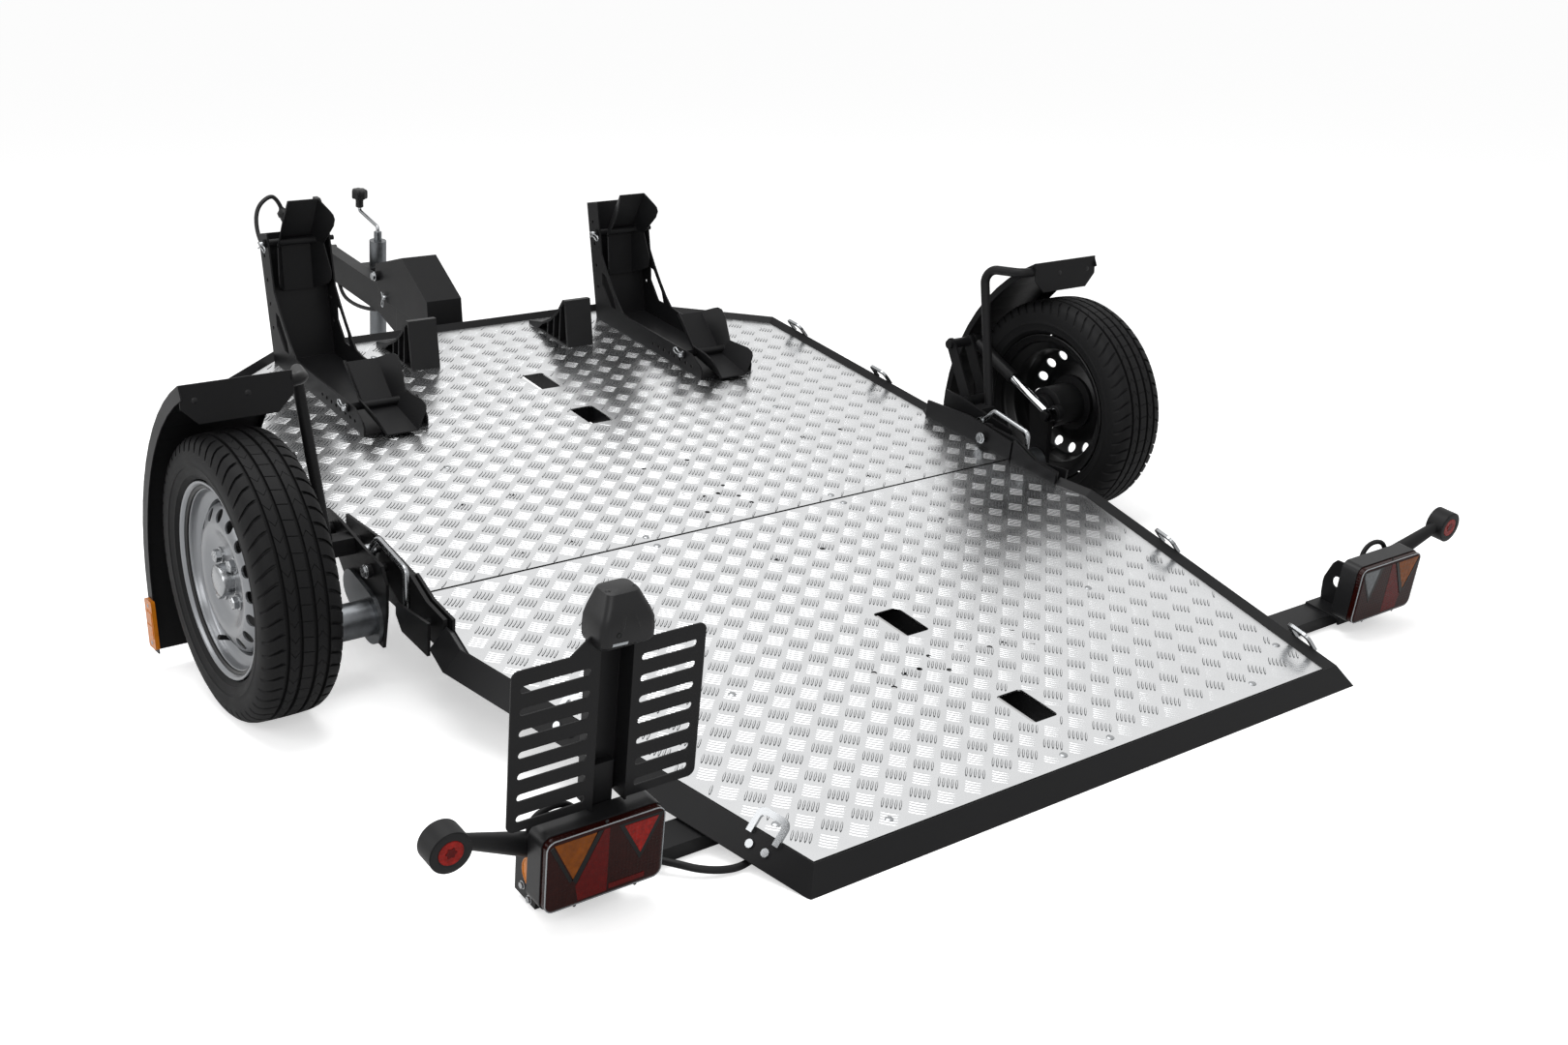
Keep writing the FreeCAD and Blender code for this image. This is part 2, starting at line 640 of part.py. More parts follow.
def make_arms():
    """Swing arms with the bars that they turn on, spindles and damper studs."""
    face = ARM_IN + ARM_T
    stud_end = DAMPER_Y - DAMPER_EYE_HALF - 6.0
    arm = strap([(WHEEL_X, AXLE_Z), (WHEEL_X, TYRE_R)], (ARM_AXLE_R, ARM_HUB_R), ARM_IN, face)
    boss = cross_rod(DAMPER_LOW[0], DAMPER_LOW[1], ARM_IN, face, ARM_STUB_R)
    bar = cross_rod(WHEEL_X, AXLE_Z, BRACKET_OUT + 2.0, ARM_IN, ARM_STUB_R)
    spindle = cross_rod(WHEEL_X, TYRE_R, face, HUB_OUT, SPINDLE_R)
    collar = cross_rod(WHEEL_X, TYRE_R, face, HUB_IN - 1.0, SPINDLE_R + 5.0)
    stud = cross_rod(DAMPER_LOW[0], DAMPER_LOW[1], stud_end, ARM_IN, STUD_R)
    head = cross_rod(DAMPER_LOW[0], DAMPER_LOW[1], stud_end - 6.0, stud_end, STUD_HEAD_R)
    both_sides("swing_arm", fused(arm, boss, bar, spindle, collar, stud, head))


def tyre_ring():
    """Hollow tyre carcass with four grooves round its tread."""
    mid = TRACK_HALF
    half = TYRE_W / 2.0
    bead = RIM_W / 2.0 - 4.0
    wall = 10.0
    side = [(RIM_R + 2, bead), (TYRE_R - 57, half), (TYRE_R - 34, half), (TYRE_R - 12, half - 10.5),
            (TYRE_R - 2, half - 24.5), (TYRE_R, half - 52.5)]
    inner = [(TYRE_R - 16, half - 22.5), (TYRE_R - 37, half - wall), (TYRE_R - 57, half - wall),
             (RIM_SEAT_R, bead - 14)]
    outline = [(RIM_SEAT_R, -bead)] + [(r, -y) for r, y in side] + [(r, y) for r, y in reversed(side)]
    outline += [(RIM_SEAT_R, bead)] + [(r, y) for r, y in reversed(inner)] + [(r, -y) for r, y in inner]
    tyre = ring_about_y([(r, mid + y) for r, y in outline], WHEEL_X, TYRE_R)
    for y in (-36.0, -13.0, 13.0, 36.0):
        groove = [(TYRE_R - 6, y - 3), (TYRE_R + 8, y - 3), (TYRE_R + 8, y + 3), (TYRE_R - 6, y + 3)]
        tyre = tyre.cut(ring_about_y([(r, mid + w) for r, w in groove], WHEEL_X, TYRE_R))
    return tyre


def wheel_disc():
    """Rim barrel and pressed disc with its ring of vents and four bolts."""
    mid = TRACK_HALF
    edge = RIM_W / 2.0
    seat = RIM_SEAT_R
    well = seat - 23.0
    outer = [(RIM_R, -edge), (RIM_R, 4 - edge), (seat, 4 - edge), (seat, -38), (well, -28), (well, 22),
             (seat, 36), (seat, edge - 4), (RIM_R, edge - 4), (RIM_R, edge)]
    inner = [(seat - 3, edge), (seat - 3, 38), (well - 3, 24), (well - 3, -30), (seat - 3, -40), (seat - 3, -edge)]
    barrel = ring_about_y([(r, mid + y) for r, y in outer + inner], WHEEL_X, TYRE_R)
    face = HUB_OUT + 2.0
    disc = ring_about_y([(29, face), (60, face), (86, face + 14), (104, face + 14), (128, mid + 8),
                         (well - 2, mid + 4), (well - 2, mid + 9), (131, mid + 13), (106, face + 18),
                         (84, face + 18), (58, face + 4), (29, face + 4)], WHEEL_X, TYRE_R)
    vents = []
    for i in range(VENT_COUNT):
        turn = 2.0 * math.pi * i / VENT_COUNT
        x = WHEEL_X + VENT_PCR * math.cos(turn)
        z = TYRE_R + VENT_PCR * math.sin(turn)
        vents.append(cross_rod(x, z, mid - 20.0, face + 40.0, VENT_R))
    disc = disc.cut(Part.makeCompound(vents))
    bolts = []
    for i in range(4):
        turn = math.radians(45.0 + 90.0 * i)
        x = WHEEL_X + WHEEL_BOLT_R * math.cos(turn)
        z = TYRE_R + WHEEL_BOLT_R * math.sin(turn)
        bolts.append(cross_rod(x, z, face + 4.0, face + 16.0, 10.0))
    return fused(barrel, disc, *bolts)


def wheel_hub():
    bore = SPINDLE_R + RUNNING_FIT
    return ring_about_y([(bore, HUB_IN), (HUB_R, HUB_IN), (HUB_R, HUB_OUT - 8), (HUB_FLANGE_R, HUB_OUT - 8),
                         (HUB_FLANGE_R, HUB_OUT + 2), (28, HUB_OUT + 2), (28, HUB_OUT + 24), (22, HUB_OUT + 28),
                         (bore, HUB_OUT + 28)], WHEEL_X, TYRE_R)


def make_wheels():
    both_sides("tyre", tyre_ring())
    both_sides("wheel_rim", wheel_disc())
    both_sides("wheel_hub", wheel_hub())


def along_damper(distance):
    """Point on the damper's middle line, from its lower eye."""
    dx = DAMPER_TOP[0] - DAMPER_LOW[0]
    dz = DAMPER_TOP[1] - DAMPER_LOW[1]
    length = math.hypot(dx, dz)
    return DAMPER_LOW[0] + dx * distance / length, DAMPER_Y, DAMPER_LOW[1] + dz * distance / length


def make_dampers():
    """Two piece dampers, with an eye on the arm's stud below and on the mast's bolt above."""
    low = DAMPER_LOW
    top = DAMPER_TOP
    y = DAMPER_Y
    half = DAMPER_EYE_HALF
    length = math.hypot(top[0] - low[0], top[1] - low[1])
    shaft = fused(rod(along_damper(14.0), along_damper(length - 50.0), DAMPER_ROD_R),
                  cross_rod(low[0], low[1], y - half, y + half, DAMPER_EYE_R))
    both_sides("damper_rod", shaft.cut(cross_rod(low[0], low[1], y - 2 * half, y + 2 * half, STUD_R + STUD_PLAY)))
    barrel = pipe(along_damper(length - BARREL_L), along_damper(length - 28.0), BARREL_R, BARREL_BORE_R)
    cap = rod(along_damper(length - 28.0), along_damper(length - BARREL_EYE_GAP), BARREL_R)
    head = cross_rod(top[0], top[1], y - half, y + half, DAMPER_EYE_R)
    bore = cross_rod(top[0], top[1], y - 2 * half, y + 2 * half, STUD_R + RUNNING_FIT)
    both_sides("damper_barrel", fused(barrel, cap, head).cut(bore))


def make_masts():
    """Twin straps that carry each damper's upper eye."""
    top = DAMPER_TOP
    straps = []
    for y0 in (MAST_INNER, MAST_OUTER):
        radii = (MAST_BAR_W / 2 + 1.0, MAST_BAR_W / 2)
        straps.append(strap([MAST_FOOT, top], radii, y0, y0 + MAST_BAR_T))
    end = DAMPER_Y + DAMPER_EYE_HALF
    foot = cross_rod(MAST_FOOT[0], MAST_FOOT[1], BRACKET_OUT, MAST_OUTER + MAST_BAR_T, MAST_FOOT_R)
    tie = cross_rod(top[0], top[1], MAST_INNER, MAST_OUTER, MAST_FOOT_R)
    bolt = cross_rod(top[0], top[1], MAST_OUTER, end + 10.0, STUD_R)
    head = cross_rod(top[0], top[1], end + 2.0, end + 10.0, STUD_HEAD_R)
    cap = cross_rod(top[0], top[1], MAST_INNER - 8.0, MAST_INNER, STUD_HEAD_R)
    both_sides("side_mast", fused(foot, tie, bolt, head, cap, *straps))


def guard_outline(offset):
    """Side view points of the mudguard sheet from its rear lip to its front foot."""
    radius = GUARD_R - offset
    x = WHEEL_X - GUARD_BACK
    z = TYRE_R - GUARD_MID_DROP
    out = []
    for i in range(13):
        turn = math.radians(GUARD_LIP_DEG * (1.0 - i / 12.0))
        out.append((x + radius * math.cos(turn), z + radius * math.sin(turn)))
    out.append((x + radius, GUARD_FOOT_H))
    return out


def make_mudguards():
    """Curved sheets with side flanges and a folded rear lip, and their side reflectors."""
    skin = guard_outline(0.0)
    under = guard_outline(GUARD_T)
    sheet = side_plate(skin + list(reversed(under)), GUARD_IN, GUARD_OUT)
    for y0, depth in ((GUARD_IN, GUARD_INNER_FLANGE), (GUARD_OUT - GUARD_T, GUARD_FLANGE)):
        deep = guard_outline(depth)
        sheet = sheet.fuse(side_plate(skin + list(reversed(deep)), y0, y0 + GUARD_T))
    x, z = skin[0]
    notch_r = GUARD_TUBE_R + 2.0
    notch = cross_rod(x + GUARD_TUBE_R, z - 2 * GUARD_TUBE_R, GUARD_IN - 1.0, GUARD_IN + GUARD_T + 1.0, notch_r)
    sheet = sheet.cut(notch)
    low = z - GUARD_LIP_H
    cut = GUARD_LIP_CORNER
    lip = [(GUARD_IN, z), (GUARD_OUT, z), (GUARD_OUT, low + cut), (GUARD_OUT - cut, low), (GUARD_IN + cut, low),
           (GUARD_IN, low + cut)]
    lip = face_of([Vector(x - GUARD_T, y, h) for y, h in lip]).extrude(Vector(GUARD_T, 0, 0))
    both_sides("mudguard", fused(sheet, lip))
    front, foot = skin[-1]
    foot += 12.0
    reflector = box(front - SIDE_REFLECTOR_W, front, GUARD_OUT, GUARD_OUT + SIDE_REFLECTOR_T, foot,
                    foot + SIDE_REFLECTOR_H)
    reflector = reflector.makeFillet(5.0, [e for e in reflector.Edges if abs(e.Length - SIDE_REFLECTOR_T) < 0.01])
    keep("side_reflectors", reflector, mirrored(reflector))


def make_guard_tubes():
    """Bent tubes on welded shoes that carry the mudguards behind their lips."""
    r = GUARD_TUBE_R
    base = BRACKET_OUT
    lip_x, lip_z = guard_outline(0.0)[0]
    x = lip_x + r
    top = lip_z - 2 * r
    tube = bent_rod([(WHEEL_X + 73.0, base + MAST_OFF, TYRE_R), (x + 106.0, base + MAST_OFF + 14.0, top),
                     (x, GUARD_IN - 26.0, top), (x, GUARD_OUT - 6.0, top)], r, 32.0)
    shoe = box(WHEEL_X + 52.0, WHEEL_X + 92.0, base, base + MAST_OFF, TYRE_R - 22.0, TYRE_R + 10.0)
    both_sides("side_mast", fused(tube, shoe))


def chock_lean(distance, offset):
    """Deck x and h of a point up the leaning column, offset to its rear."""
    lean = math.radians(CHOCK_LEAN_DEG)
    return (CHOCK_FOOT_X + distance * math.sin(lean) - offset * math.cos(lean),
            distance * math.cos(lean) + offset * math.sin(lean))


def chock_window():
    """Long hexagonal window through the gusset between base and column."""
    points = [(-92, 52), (-65, 52), (-21, 98), (-16, 132), (-34, 128), (-79, 80)]
    return [(CHOCK_FOOT_X + dx, h) for dx, h in points]


def chock_side(height):
    """Side view of a chock wall: base flange, curved gusset and column flange."""
    outline = [(CHOCK_REAR_X, 0), chock_lean(0, 0), chock_lean(height, 0), chock_lean(height, CHOCK_FLANGE),
               chock_lean(3 * COLUMN_HOLE_PITCH, CHOCK_FLANGE)]
    for dx, h in ((-36, 142), (-68, 106), (-98, 76), (-126, 54), (-155, CHOCK_SIDE_H)):
        outline.append((CHOCK_FOOT_X + dx, h))
    return outline + [(CHOCK_REAR_X + 50, CHOCK_SIDE_H), (CHOCK_REAR_X + 8, 30), (CHOCK_REAR_X, 20)]


def chock_holes(y0, y1):
    """Cutters for the rows of pin holes in both walls."""
    out = []
    for i in range(8):
        x = CHOCK_REAR_X + LOWER_PIN_IN + (i - 1.5) * CHOCK_HOLE_PITCH
        out.append(cross_rod(x, LOWER_PIN_H - 18.0, y0 - 1, y1 + 1, CHOCK_HOLE_R))
    for i in range(4):
        x, h = chock_lean(COLUMN_HOLE_LOW + (i - 0.5) * COLUMN_HOLE_PITCH, UPPER_PIN_OFF - 12.0)
        out.append(cross_rod(x, h, y0 - 1, y1 + 1, CHOCK_HOLE_R))
    return Part.makeCompound(out)


def make_chock(side, upper_pin_up):
    """One wheel chock: folded base and column, and two rocking cradles on their pins."""
    name = "left" if side > 0 else "right"
    y0 = side * CHOCK_Y - CHOCK_W / 2.0
    y1 = y0 + CHOCK_W
    t = CHOCK_T
    height = CHOCK_TOP_H / math.cos(math.radians(CHOCK_LEAN_DEG))
    wall = side_plate(chock_side(height), y0, y0 + t).cut(side_plate(chock_window(), y0 - 1, y1 + 1))
    other = wall.translated(Vector(0, CHOCK_W - t, 0))
    floor = box(CHOCK_REAR_X, CHOCK_FOOT_X, y0, y1, 0.0, t)
    back = side_plate([chock_lean(0, 0), chock_lean(height, 0), chock_lean(height, t), chock_lean(0, t)], y0, y1)
    shell = fused(wall, other, floor, back).cut(chock_holes(y0, y1))
    upper = chock_lean(upper_pin_up, UPPER_PIN_OFF)
    pins = [cross_rod(x, h, y0 - 14.0, y1 + 6.0, CRADLE_PIN_R) for x, h in (LOWER_PIN, upper)]
    heads = [cross_rod(x, h, y1 + 1.0, y1 + 6.0, CRADLE_TUBE_R + 1.0) for x, h in (LOWER_PIN, upper)]
    keep("chock_base_" + name, on_deck(fused(shell, *pins, *heads)))
    make_cradle("lower_cradle_" + name, side, LOWER_PIN, 40.0, 190.0)
    make_cradle("upper_cradle_" + name, side, upper, 116.0, 262.0)


def make_cradle(name, side, pin, front_deg, rear_deg):
    """Two folded flaps welded to a tube that rocks on the pin."""
    mid = side * CHOCK_Y
    half = CHOCK_W / 2.0 - CHOCK_T - 2.0
    shapes = [cross_rod(pin[0], pin[1], mid - half, mid + half, CRADLE_TUBE_R)]
    for deg, face_side in ((front_deg, 1.0), (rear_deg, -1.0)):
        shapes.append(cradle_flap(mid, pin, math.radians(deg), face_side))
    bore = cross_rod(pin[0], pin[1], mid - half - 5.0, mid + half + 5.0, CRADLE_PIN_R + RUNNING_FIT)
    keep(name, on_deck(fused(*shapes).cut(bore)))


def cradle_flap(mid, pin, angle, face_side):
    """Centre panel below the pin tube, with a wing folded up on each side and its corner rounded."""
    wing = math.radians(CRADLE_WING_DEG)
    t = CRADLE_T
    along = Vector(math.cos(angle), 0, math.sin(angle))
    up = Vector(-math.sin(angle), 0, math.cos(angle)) * face_side
    start = Vector(pin[0], mid, pin[1]) - up * (CRADLE_TUBE_R - 1.0)
    rise = CRADLE_WING * math.sin(wing)
    edge = CRADLE_HALF + CRADLE_WING * math.cos(wing)
    dy = t * math.sin(wing)
    dh = t * math.cos(wing)
    fold = CRADLE_HALF + t * math.tan(wing / 2.0)
    section = [(-edge, rise), (-CRADLE_HALF, 0.0), (CRADLE_HALF, 0.0), (edge, rise), (edge + dy, rise - dh),
               (fold, -t), (-fold, -t), (-edge - dy, rise - dh)]
    points = [start + Vector(0, y, 0) + up * h for y, h in section]
    flap = face_of(points).extrude(along * FLAP_L)
    for side in (-1.0, 1.0):
        out = Vector(0, side * math.cos(wing), 0) + up * math.sin(wing)
        across = Vector(0, side * math.sin(wing), 0) - up * math.cos(wing)
        flap = flap.cut(wing_trim(start + Vector(0, side * CRADLE_HALF, 0), along, out, across))
    return flap


def wing_trim(fold, along, out, across):
    """What is cut off a wing: the edge tapers to the pin and its far corner is rounded."""
    w = CRADLE_WING
    shape = [(-12, 0.62 * w), (FLAP_L - 46, w - 1), (FLAP_L - 26, w - 2), (FLAP_L - 16, w - 9), (FLAP_L - 11, w - 20),
             (FLAP_L + 1, -1), (FLAP_L + 30, -1), (FLAP_L + 30, w + 30), (-12, w + 30)]
    points = [fold + along * u + out * v - across * (3 * CRADLE_T) for u, v in shape]
    return face_of(points).extrude(across * (6 * CRADLE_T))


def wedge_outline(x0, inset):
    """Side view of a wedge block: steep rear face and a hollowed ramp that runs forwards."""
    run = WEDGE_L
    rise = WEDGE_H
    ramp = [(x0 + 26, rise), (x0 + 40, rise - 1), (x0 + 66, 0.66 * rise), (x0 + 100, 0.4 * rise),
            (x0 + 140, 0.22 * rise), (x0 + run, 8)]
    points = [(x0, 0)] + ramp + [(x0 + run, 0)]
    if inset == 0:
        return points
    return [(x0 + 2 * inset, inset), (x0 + 26 + inset, rise - 2 * inset), (x0 + 36, rise - 2 * inset),
            (x0 + 62, 0.66 * rise - inset), (x0 + 97, 0.4 * rise - inset), (x0 + 136, 0.22 * rise - inset),
            (x0 + run - 50, inset)]


def make_wedges():
    """Moulded blocks with open, ribbed sides."""
    x0 = SEAM_X + WEDGE_AHEAD
    y0 = WEDGE_Y - WEDGE_W / 2
    y1 = WEDGE_Y + WEDGE_W / 2
    block = side_plate(wedge_outline(x0, 0), y0, y1)
    pocket = wedge_outline(x0, WEDGE_WALL)
    half = WEDGE_WALL / 2.0
    for low, high in ((y0 - 1, WEDGE_Y - half), (WEDGE_Y + half, y1 + 1)):
        hollow = side_plate(pocket, low, high)
        for dx in (48.0, 78.0, 108.0):
            hollow = hollow.cut(box(x0 + dx - half, x0 + dx + half, low, high, 0.0, WEDGE_H))
        block = block.cut(hollow)
    keep("wedge_blocks", on_deck(block), mirrored(on_deck(block)))


def rail_place(x, outline, reach):
    """Placement on the rim's outer face: local X along the rim, Y up the face, Z outwards."""
    ahead = half_width(outline, x + 10.0) - half_width(outline, x - 10.0)
    run = Vector(20.0, ahead, 0).normalize()
    out = Vector(-run.y, run.x, 0)
    slope = Vector(0, RIM_OUT - SKIRT_OUT, RIM_UP + SKIRT_DOWN).normalize()
    up = out * slope.y + Vector(0, 0, slope.z)
    normal = run.cross(up)
    start = Vector(x, half_width(outline, x), 0) + out * (RIM_OUT + SKIRT_OUT) / 2.0
    start += Vector(0, 0, (RIM_UP - SKIRT_DOWN) / 2.0) + normal * reach
    matrix = FreeCAD.Matrix(run.x, up.x, normal.x, start.x, run.y, up.y, normal.y, start.y,
                            run.z, up.z, normal.z, start.z, 0, 0, 0, 1)
    return FreeCAD.Placement(matrix)


def lashing_loop():
    """Bent flat bar whose two feet lie on the rim, and the heads of its two bolts below them."""
    half = LOOP_W / 2.0
    inner = half - LOOP_BAR
    bar = box(-half, half, LOOP_FOOT, LOOP_UP, -LOOP_T, 0.0)
    bar = bar.makeFillet(16.0, [e for e in bar.Edges if abs(e.Length - LOOP_T) < 0.01 and e.CenterOfMass.y > LOOP_UP - 1])
    window = box(-inner, inner, LOOP_FOOT - LOOP_BAR, LOOP_UP - LOOP_BAR, -2 * LOOP_T, LOOP_T)
    window = window.makeFillet(8.0, [e for e in window.Edges if abs(e.Length - 3 * LOOP_T) < 0.01])
    heads = [rod((x, 0, 0), (x, 0, -0.6 * LOOP_T), LOOP_BOLT_R) for x in (-half / 2, half / 2)]
    return Part.makeCompound([bar.cut(window)] + heads)


def make_loops():
    front_xs = [SEAM_X + ahead for ahead in FRONT_LOOP_AHEADS]
    for name, xs, outline in (("rear", REAR_LOOP_XS, rear_outline()), ("front", front_xs, front_outline())):
        for x in xs:
            loop = lashing_loop()
            loop.Placement = rail_place(x, outline, 0.0)
            for shape in (on_deck(loop), mirrored(on_deck(loop))):
                keep("lashing_loops_" + name, shape)


def make_housing():
    """Hinge socket welded under the nose, with cheeks, pivot bolt and a folded cover."""
    half = HOUSING_HALF
    t = HOUSING_T
    nose = NOSE_X + SKIRT_OUT
    px = BAR_PIVOT_X
    shell = [(nose + 46, -32), (nose + 60, 44), (nose + 208, 120), (px + 16, 56), (px + 16, 20), (px, -8),
             (px - 50, -32)]
    inside = [(nose + 50, -60), (nose + 64, 40), (nose + 208, 116), (px + 40, 44), (px + 40, -60)]
    cover = side_plate(shell, -half, half).cut(side_plate(inside, t - half, half - t))
    beam_shell = box(NOSE_X - 105.0, px - 105.0, -45.0, 45.0, -112.0, -46.0)
    beam_bore = box(NOSE_X - 115.0, px - 115.0, -41.0, 41.0, -108.0, -50.0)
    web = box(NOSE_X + 3.0, px - 105.0, -45.0, 45.0, -46.0, -32.0)
    cheek = [(-150, -112), (-87, -118), (16, -95), (32, -60), (32, 30), (10, 48), (-130, 48), (-150, 0)]
    shapes = [beam_shell.cut(beam_bore), web]
    for y0 in (CHEEK_IN, -CHEEK_IN - CHEEK_T):
        shapes.append(side_plate([(px + dx, h) for dx, h in cheek], y0, y0 + CHEEK_T))
    end = half + 10.0
    shapes.append(cross_rod(px, BAR_PIVOT_H, -end, end, BAR_PIVOT_R))
    for side in (-1, 1):
        shapes.append(cross_rod(px, BAR_PIVOT_H, side * half, side * end, BOLT_HEAD_R))
    socket = fused(*shapes)
    keep("drawbar_socket", on_deck(socket))
    keep("hinge_cover", on_deck(cover.cut(socket)))


def make_drawbar():
    """Box section bar with its pivot lug and the jack's clamp."""
    top = BAR_TOP
    low = BAR_TOP - BAR_DEPTH
    w = BAR_WALL
    bar = box(BAR_REAR_X, BAR_FRONT_X, -BAR_HALF, BAR_HALF, low, top)
    bar = bar.cut(box(BAR_REAR_X - 1, BAR_FRONT_X + 1, w - BAR_HALF, BAR_HALF - w, low + w, top - w))
    lug = fused(box(BAR_PIVOT_X - BAR_BOSS_R, BAR_PIVOT_X + BAR_BOSS_R, -BAR_HALF, BAR_HALF, top, BAR_PIVOT_H),
                cross_rod(BAR_PIVOT_X, BAR_PIVOT_H, -BAR_HALF, BAR_HALF, BAR_BOSS_R))
    clamp = box(JACK_X - 30.0, JACK_X + 30.0, JACK_Y, -BAR_HALF, low + 10.0, top - 10.0)
    clamp = clamp.cut(rod((JACK_X, JACK_Y, low), (JACK_X, JACK_Y, top), JACK_TUBE_R))
    bore = cross_rod(BAR_PIVOT_X, BAR_PIVOT_H, -3 * BAR_HALF, 3 * BAR_HALF, BAR_PIVOT_R + RUNNING_FIT)
    keep("drawbar", on_deck(fused(bar, lug, clamp).cut(bore)))


def make_coupling():
    """Ball coupling with its socket, and the hand lever on top."""
    low = BAR_TOP - BAR_DEPTH
    mouth = COUPLING_MOUTH_H
    nose = rod((COUPLING_X, 0, mouth), (COUPLING_X, 0, mouth + 48.0), 38.0)
    neck = box(BAR_FRONT_X, COUPLING_X, -26.0, 26.0, mouth + 4.0, mouth + 58.0)
    plate = box(BAR_FRONT_X, BAR_FRONT_X + 10.0, -BAR_HALF - 6.0, BAR_HALF + 6.0, low, BAR_TOP)
    pads = [box(HANDLE_X - 24.0, HANDLE_X + 24.0, y0, y0 + 8.0, HANDLE_H - 18.0, HANDLE_H + 14.0)
            for y0 in (-20.0, 12.0)]
    pin = cross_rod(HANDLE_X, HANDLE_H, -20.0, 20.0, CRADLE_PIN_R)
    body = fused(nose, neck, plate, pin, *pads)
    roof = mouth + SOCKET_DEPTH
    socket = rod((COUPLING_X, 0, mouth - 1.0), (COUPLING_X, 0, roof), BALL_SOCKET_R)
    dome = Part.makeSphere(BALL_SOCKET_R, Vector(COUPLING_X, 0, roof))
    keep("coupling_head", on_deck(body.cut(socket).cut(dome)))

    lever = [(12, 4), (-10, 2), (-42, 110), (-32, 117), (-10, 117), (-6, 104)]
    lever = side_plate([(HANDLE_X + dx, HANDLE_H + dh) for dx, dh in lever], -7.0, 7.0)
    eye = cross_rod(HANDLE_X, HANDLE_H, -10.0, 10.0, BOLT_HEAD_R)
    bore = cross_rod(HANDLE_X, HANDLE_H, -20.0, 20.0, CRADLE_PIN_R + RUNNING_FIT)
    keep("coupling_handle", on_deck(fused(lever, eye).cut(bore)))


def make_jack():
    """Jack tube on the drawbar, its leg with a foot plate, and the crank with its knob."""
    x = JACK_X
    y = JACK_Y
    tube = pipe((x, y, JACK_BOTTOM), (x, y, JACK_TOP), JACK_TUBE_R, JACK_BORE_R)
    cap = rod((x, y, JACK_TOP), (x, y, JACK_TOP + 6.0), JACK_TUBE_R)
    neck = rod((x, y, JACK_TOP + 6.0), (x, y, NECK_TOP), NECK_R)
    passage = rod((x, y, JACK_TOP - 5.0), (x, y, NECK_TOP + 5.0), CRANK_STEM_R + RUNNING_FIT)
    keep("jack_tube", on_deck(fused(tube, cap, neck).cut(passage)))

    foot = -(DECK_Z + (x - JACK_FOOT_R) * math.sin(TILT)) / math.cos(TILT)
    leg_top = JACK_TOP - JACK_TRAVEL - 30.0
    leg = pipe((x, y, foot + 10.0), (x, y, leg_top), JACK_LEG_R, JACK_LEG_R - 4.0)
    plate = rod((x, y, foot), (x, y, foot + 10.0), JACK_FOOT_R)
    keep("jack_leg", on_deck(fused(leg, plate)))

    reach = x + CRANK_THROW
    rod_line = bent_rod([(x, y, NECK_TOP), (x, y, NECK_TOP + 14.0), (reach, y, NECK_TOP + 30.0),
                         (reach, y, NECK_TOP + 62.0)], CRANK_ROD_R, 2 * CRANK_ROD_R)
    stem = rod((x, y, JACK_TOP - JACK_TRAVEL + 26.0), (x, y, NECK_TOP + 1.0), CRANK_STEM_R)
    keep("jack_crank", on_deck(fused(stem, rod_line)))
    low = NECK_TOP + 40.0
    sleeve = rod((reach, y, low), (reach, y, low + KNOB_L), 0.6 * KNOB_R)
    grip = rod((reach, y, low + KNOB_L), (reach, y, low + 2 * KNOB_L), KNOB_R)
    knob = fused(sleeve, grip).cut(rod((reach, y, low - 1.0), (reach, y, NECK_TOP + 62.0), CRANK_ROD_R))
    keep("crank_knob", on_deck(knob))


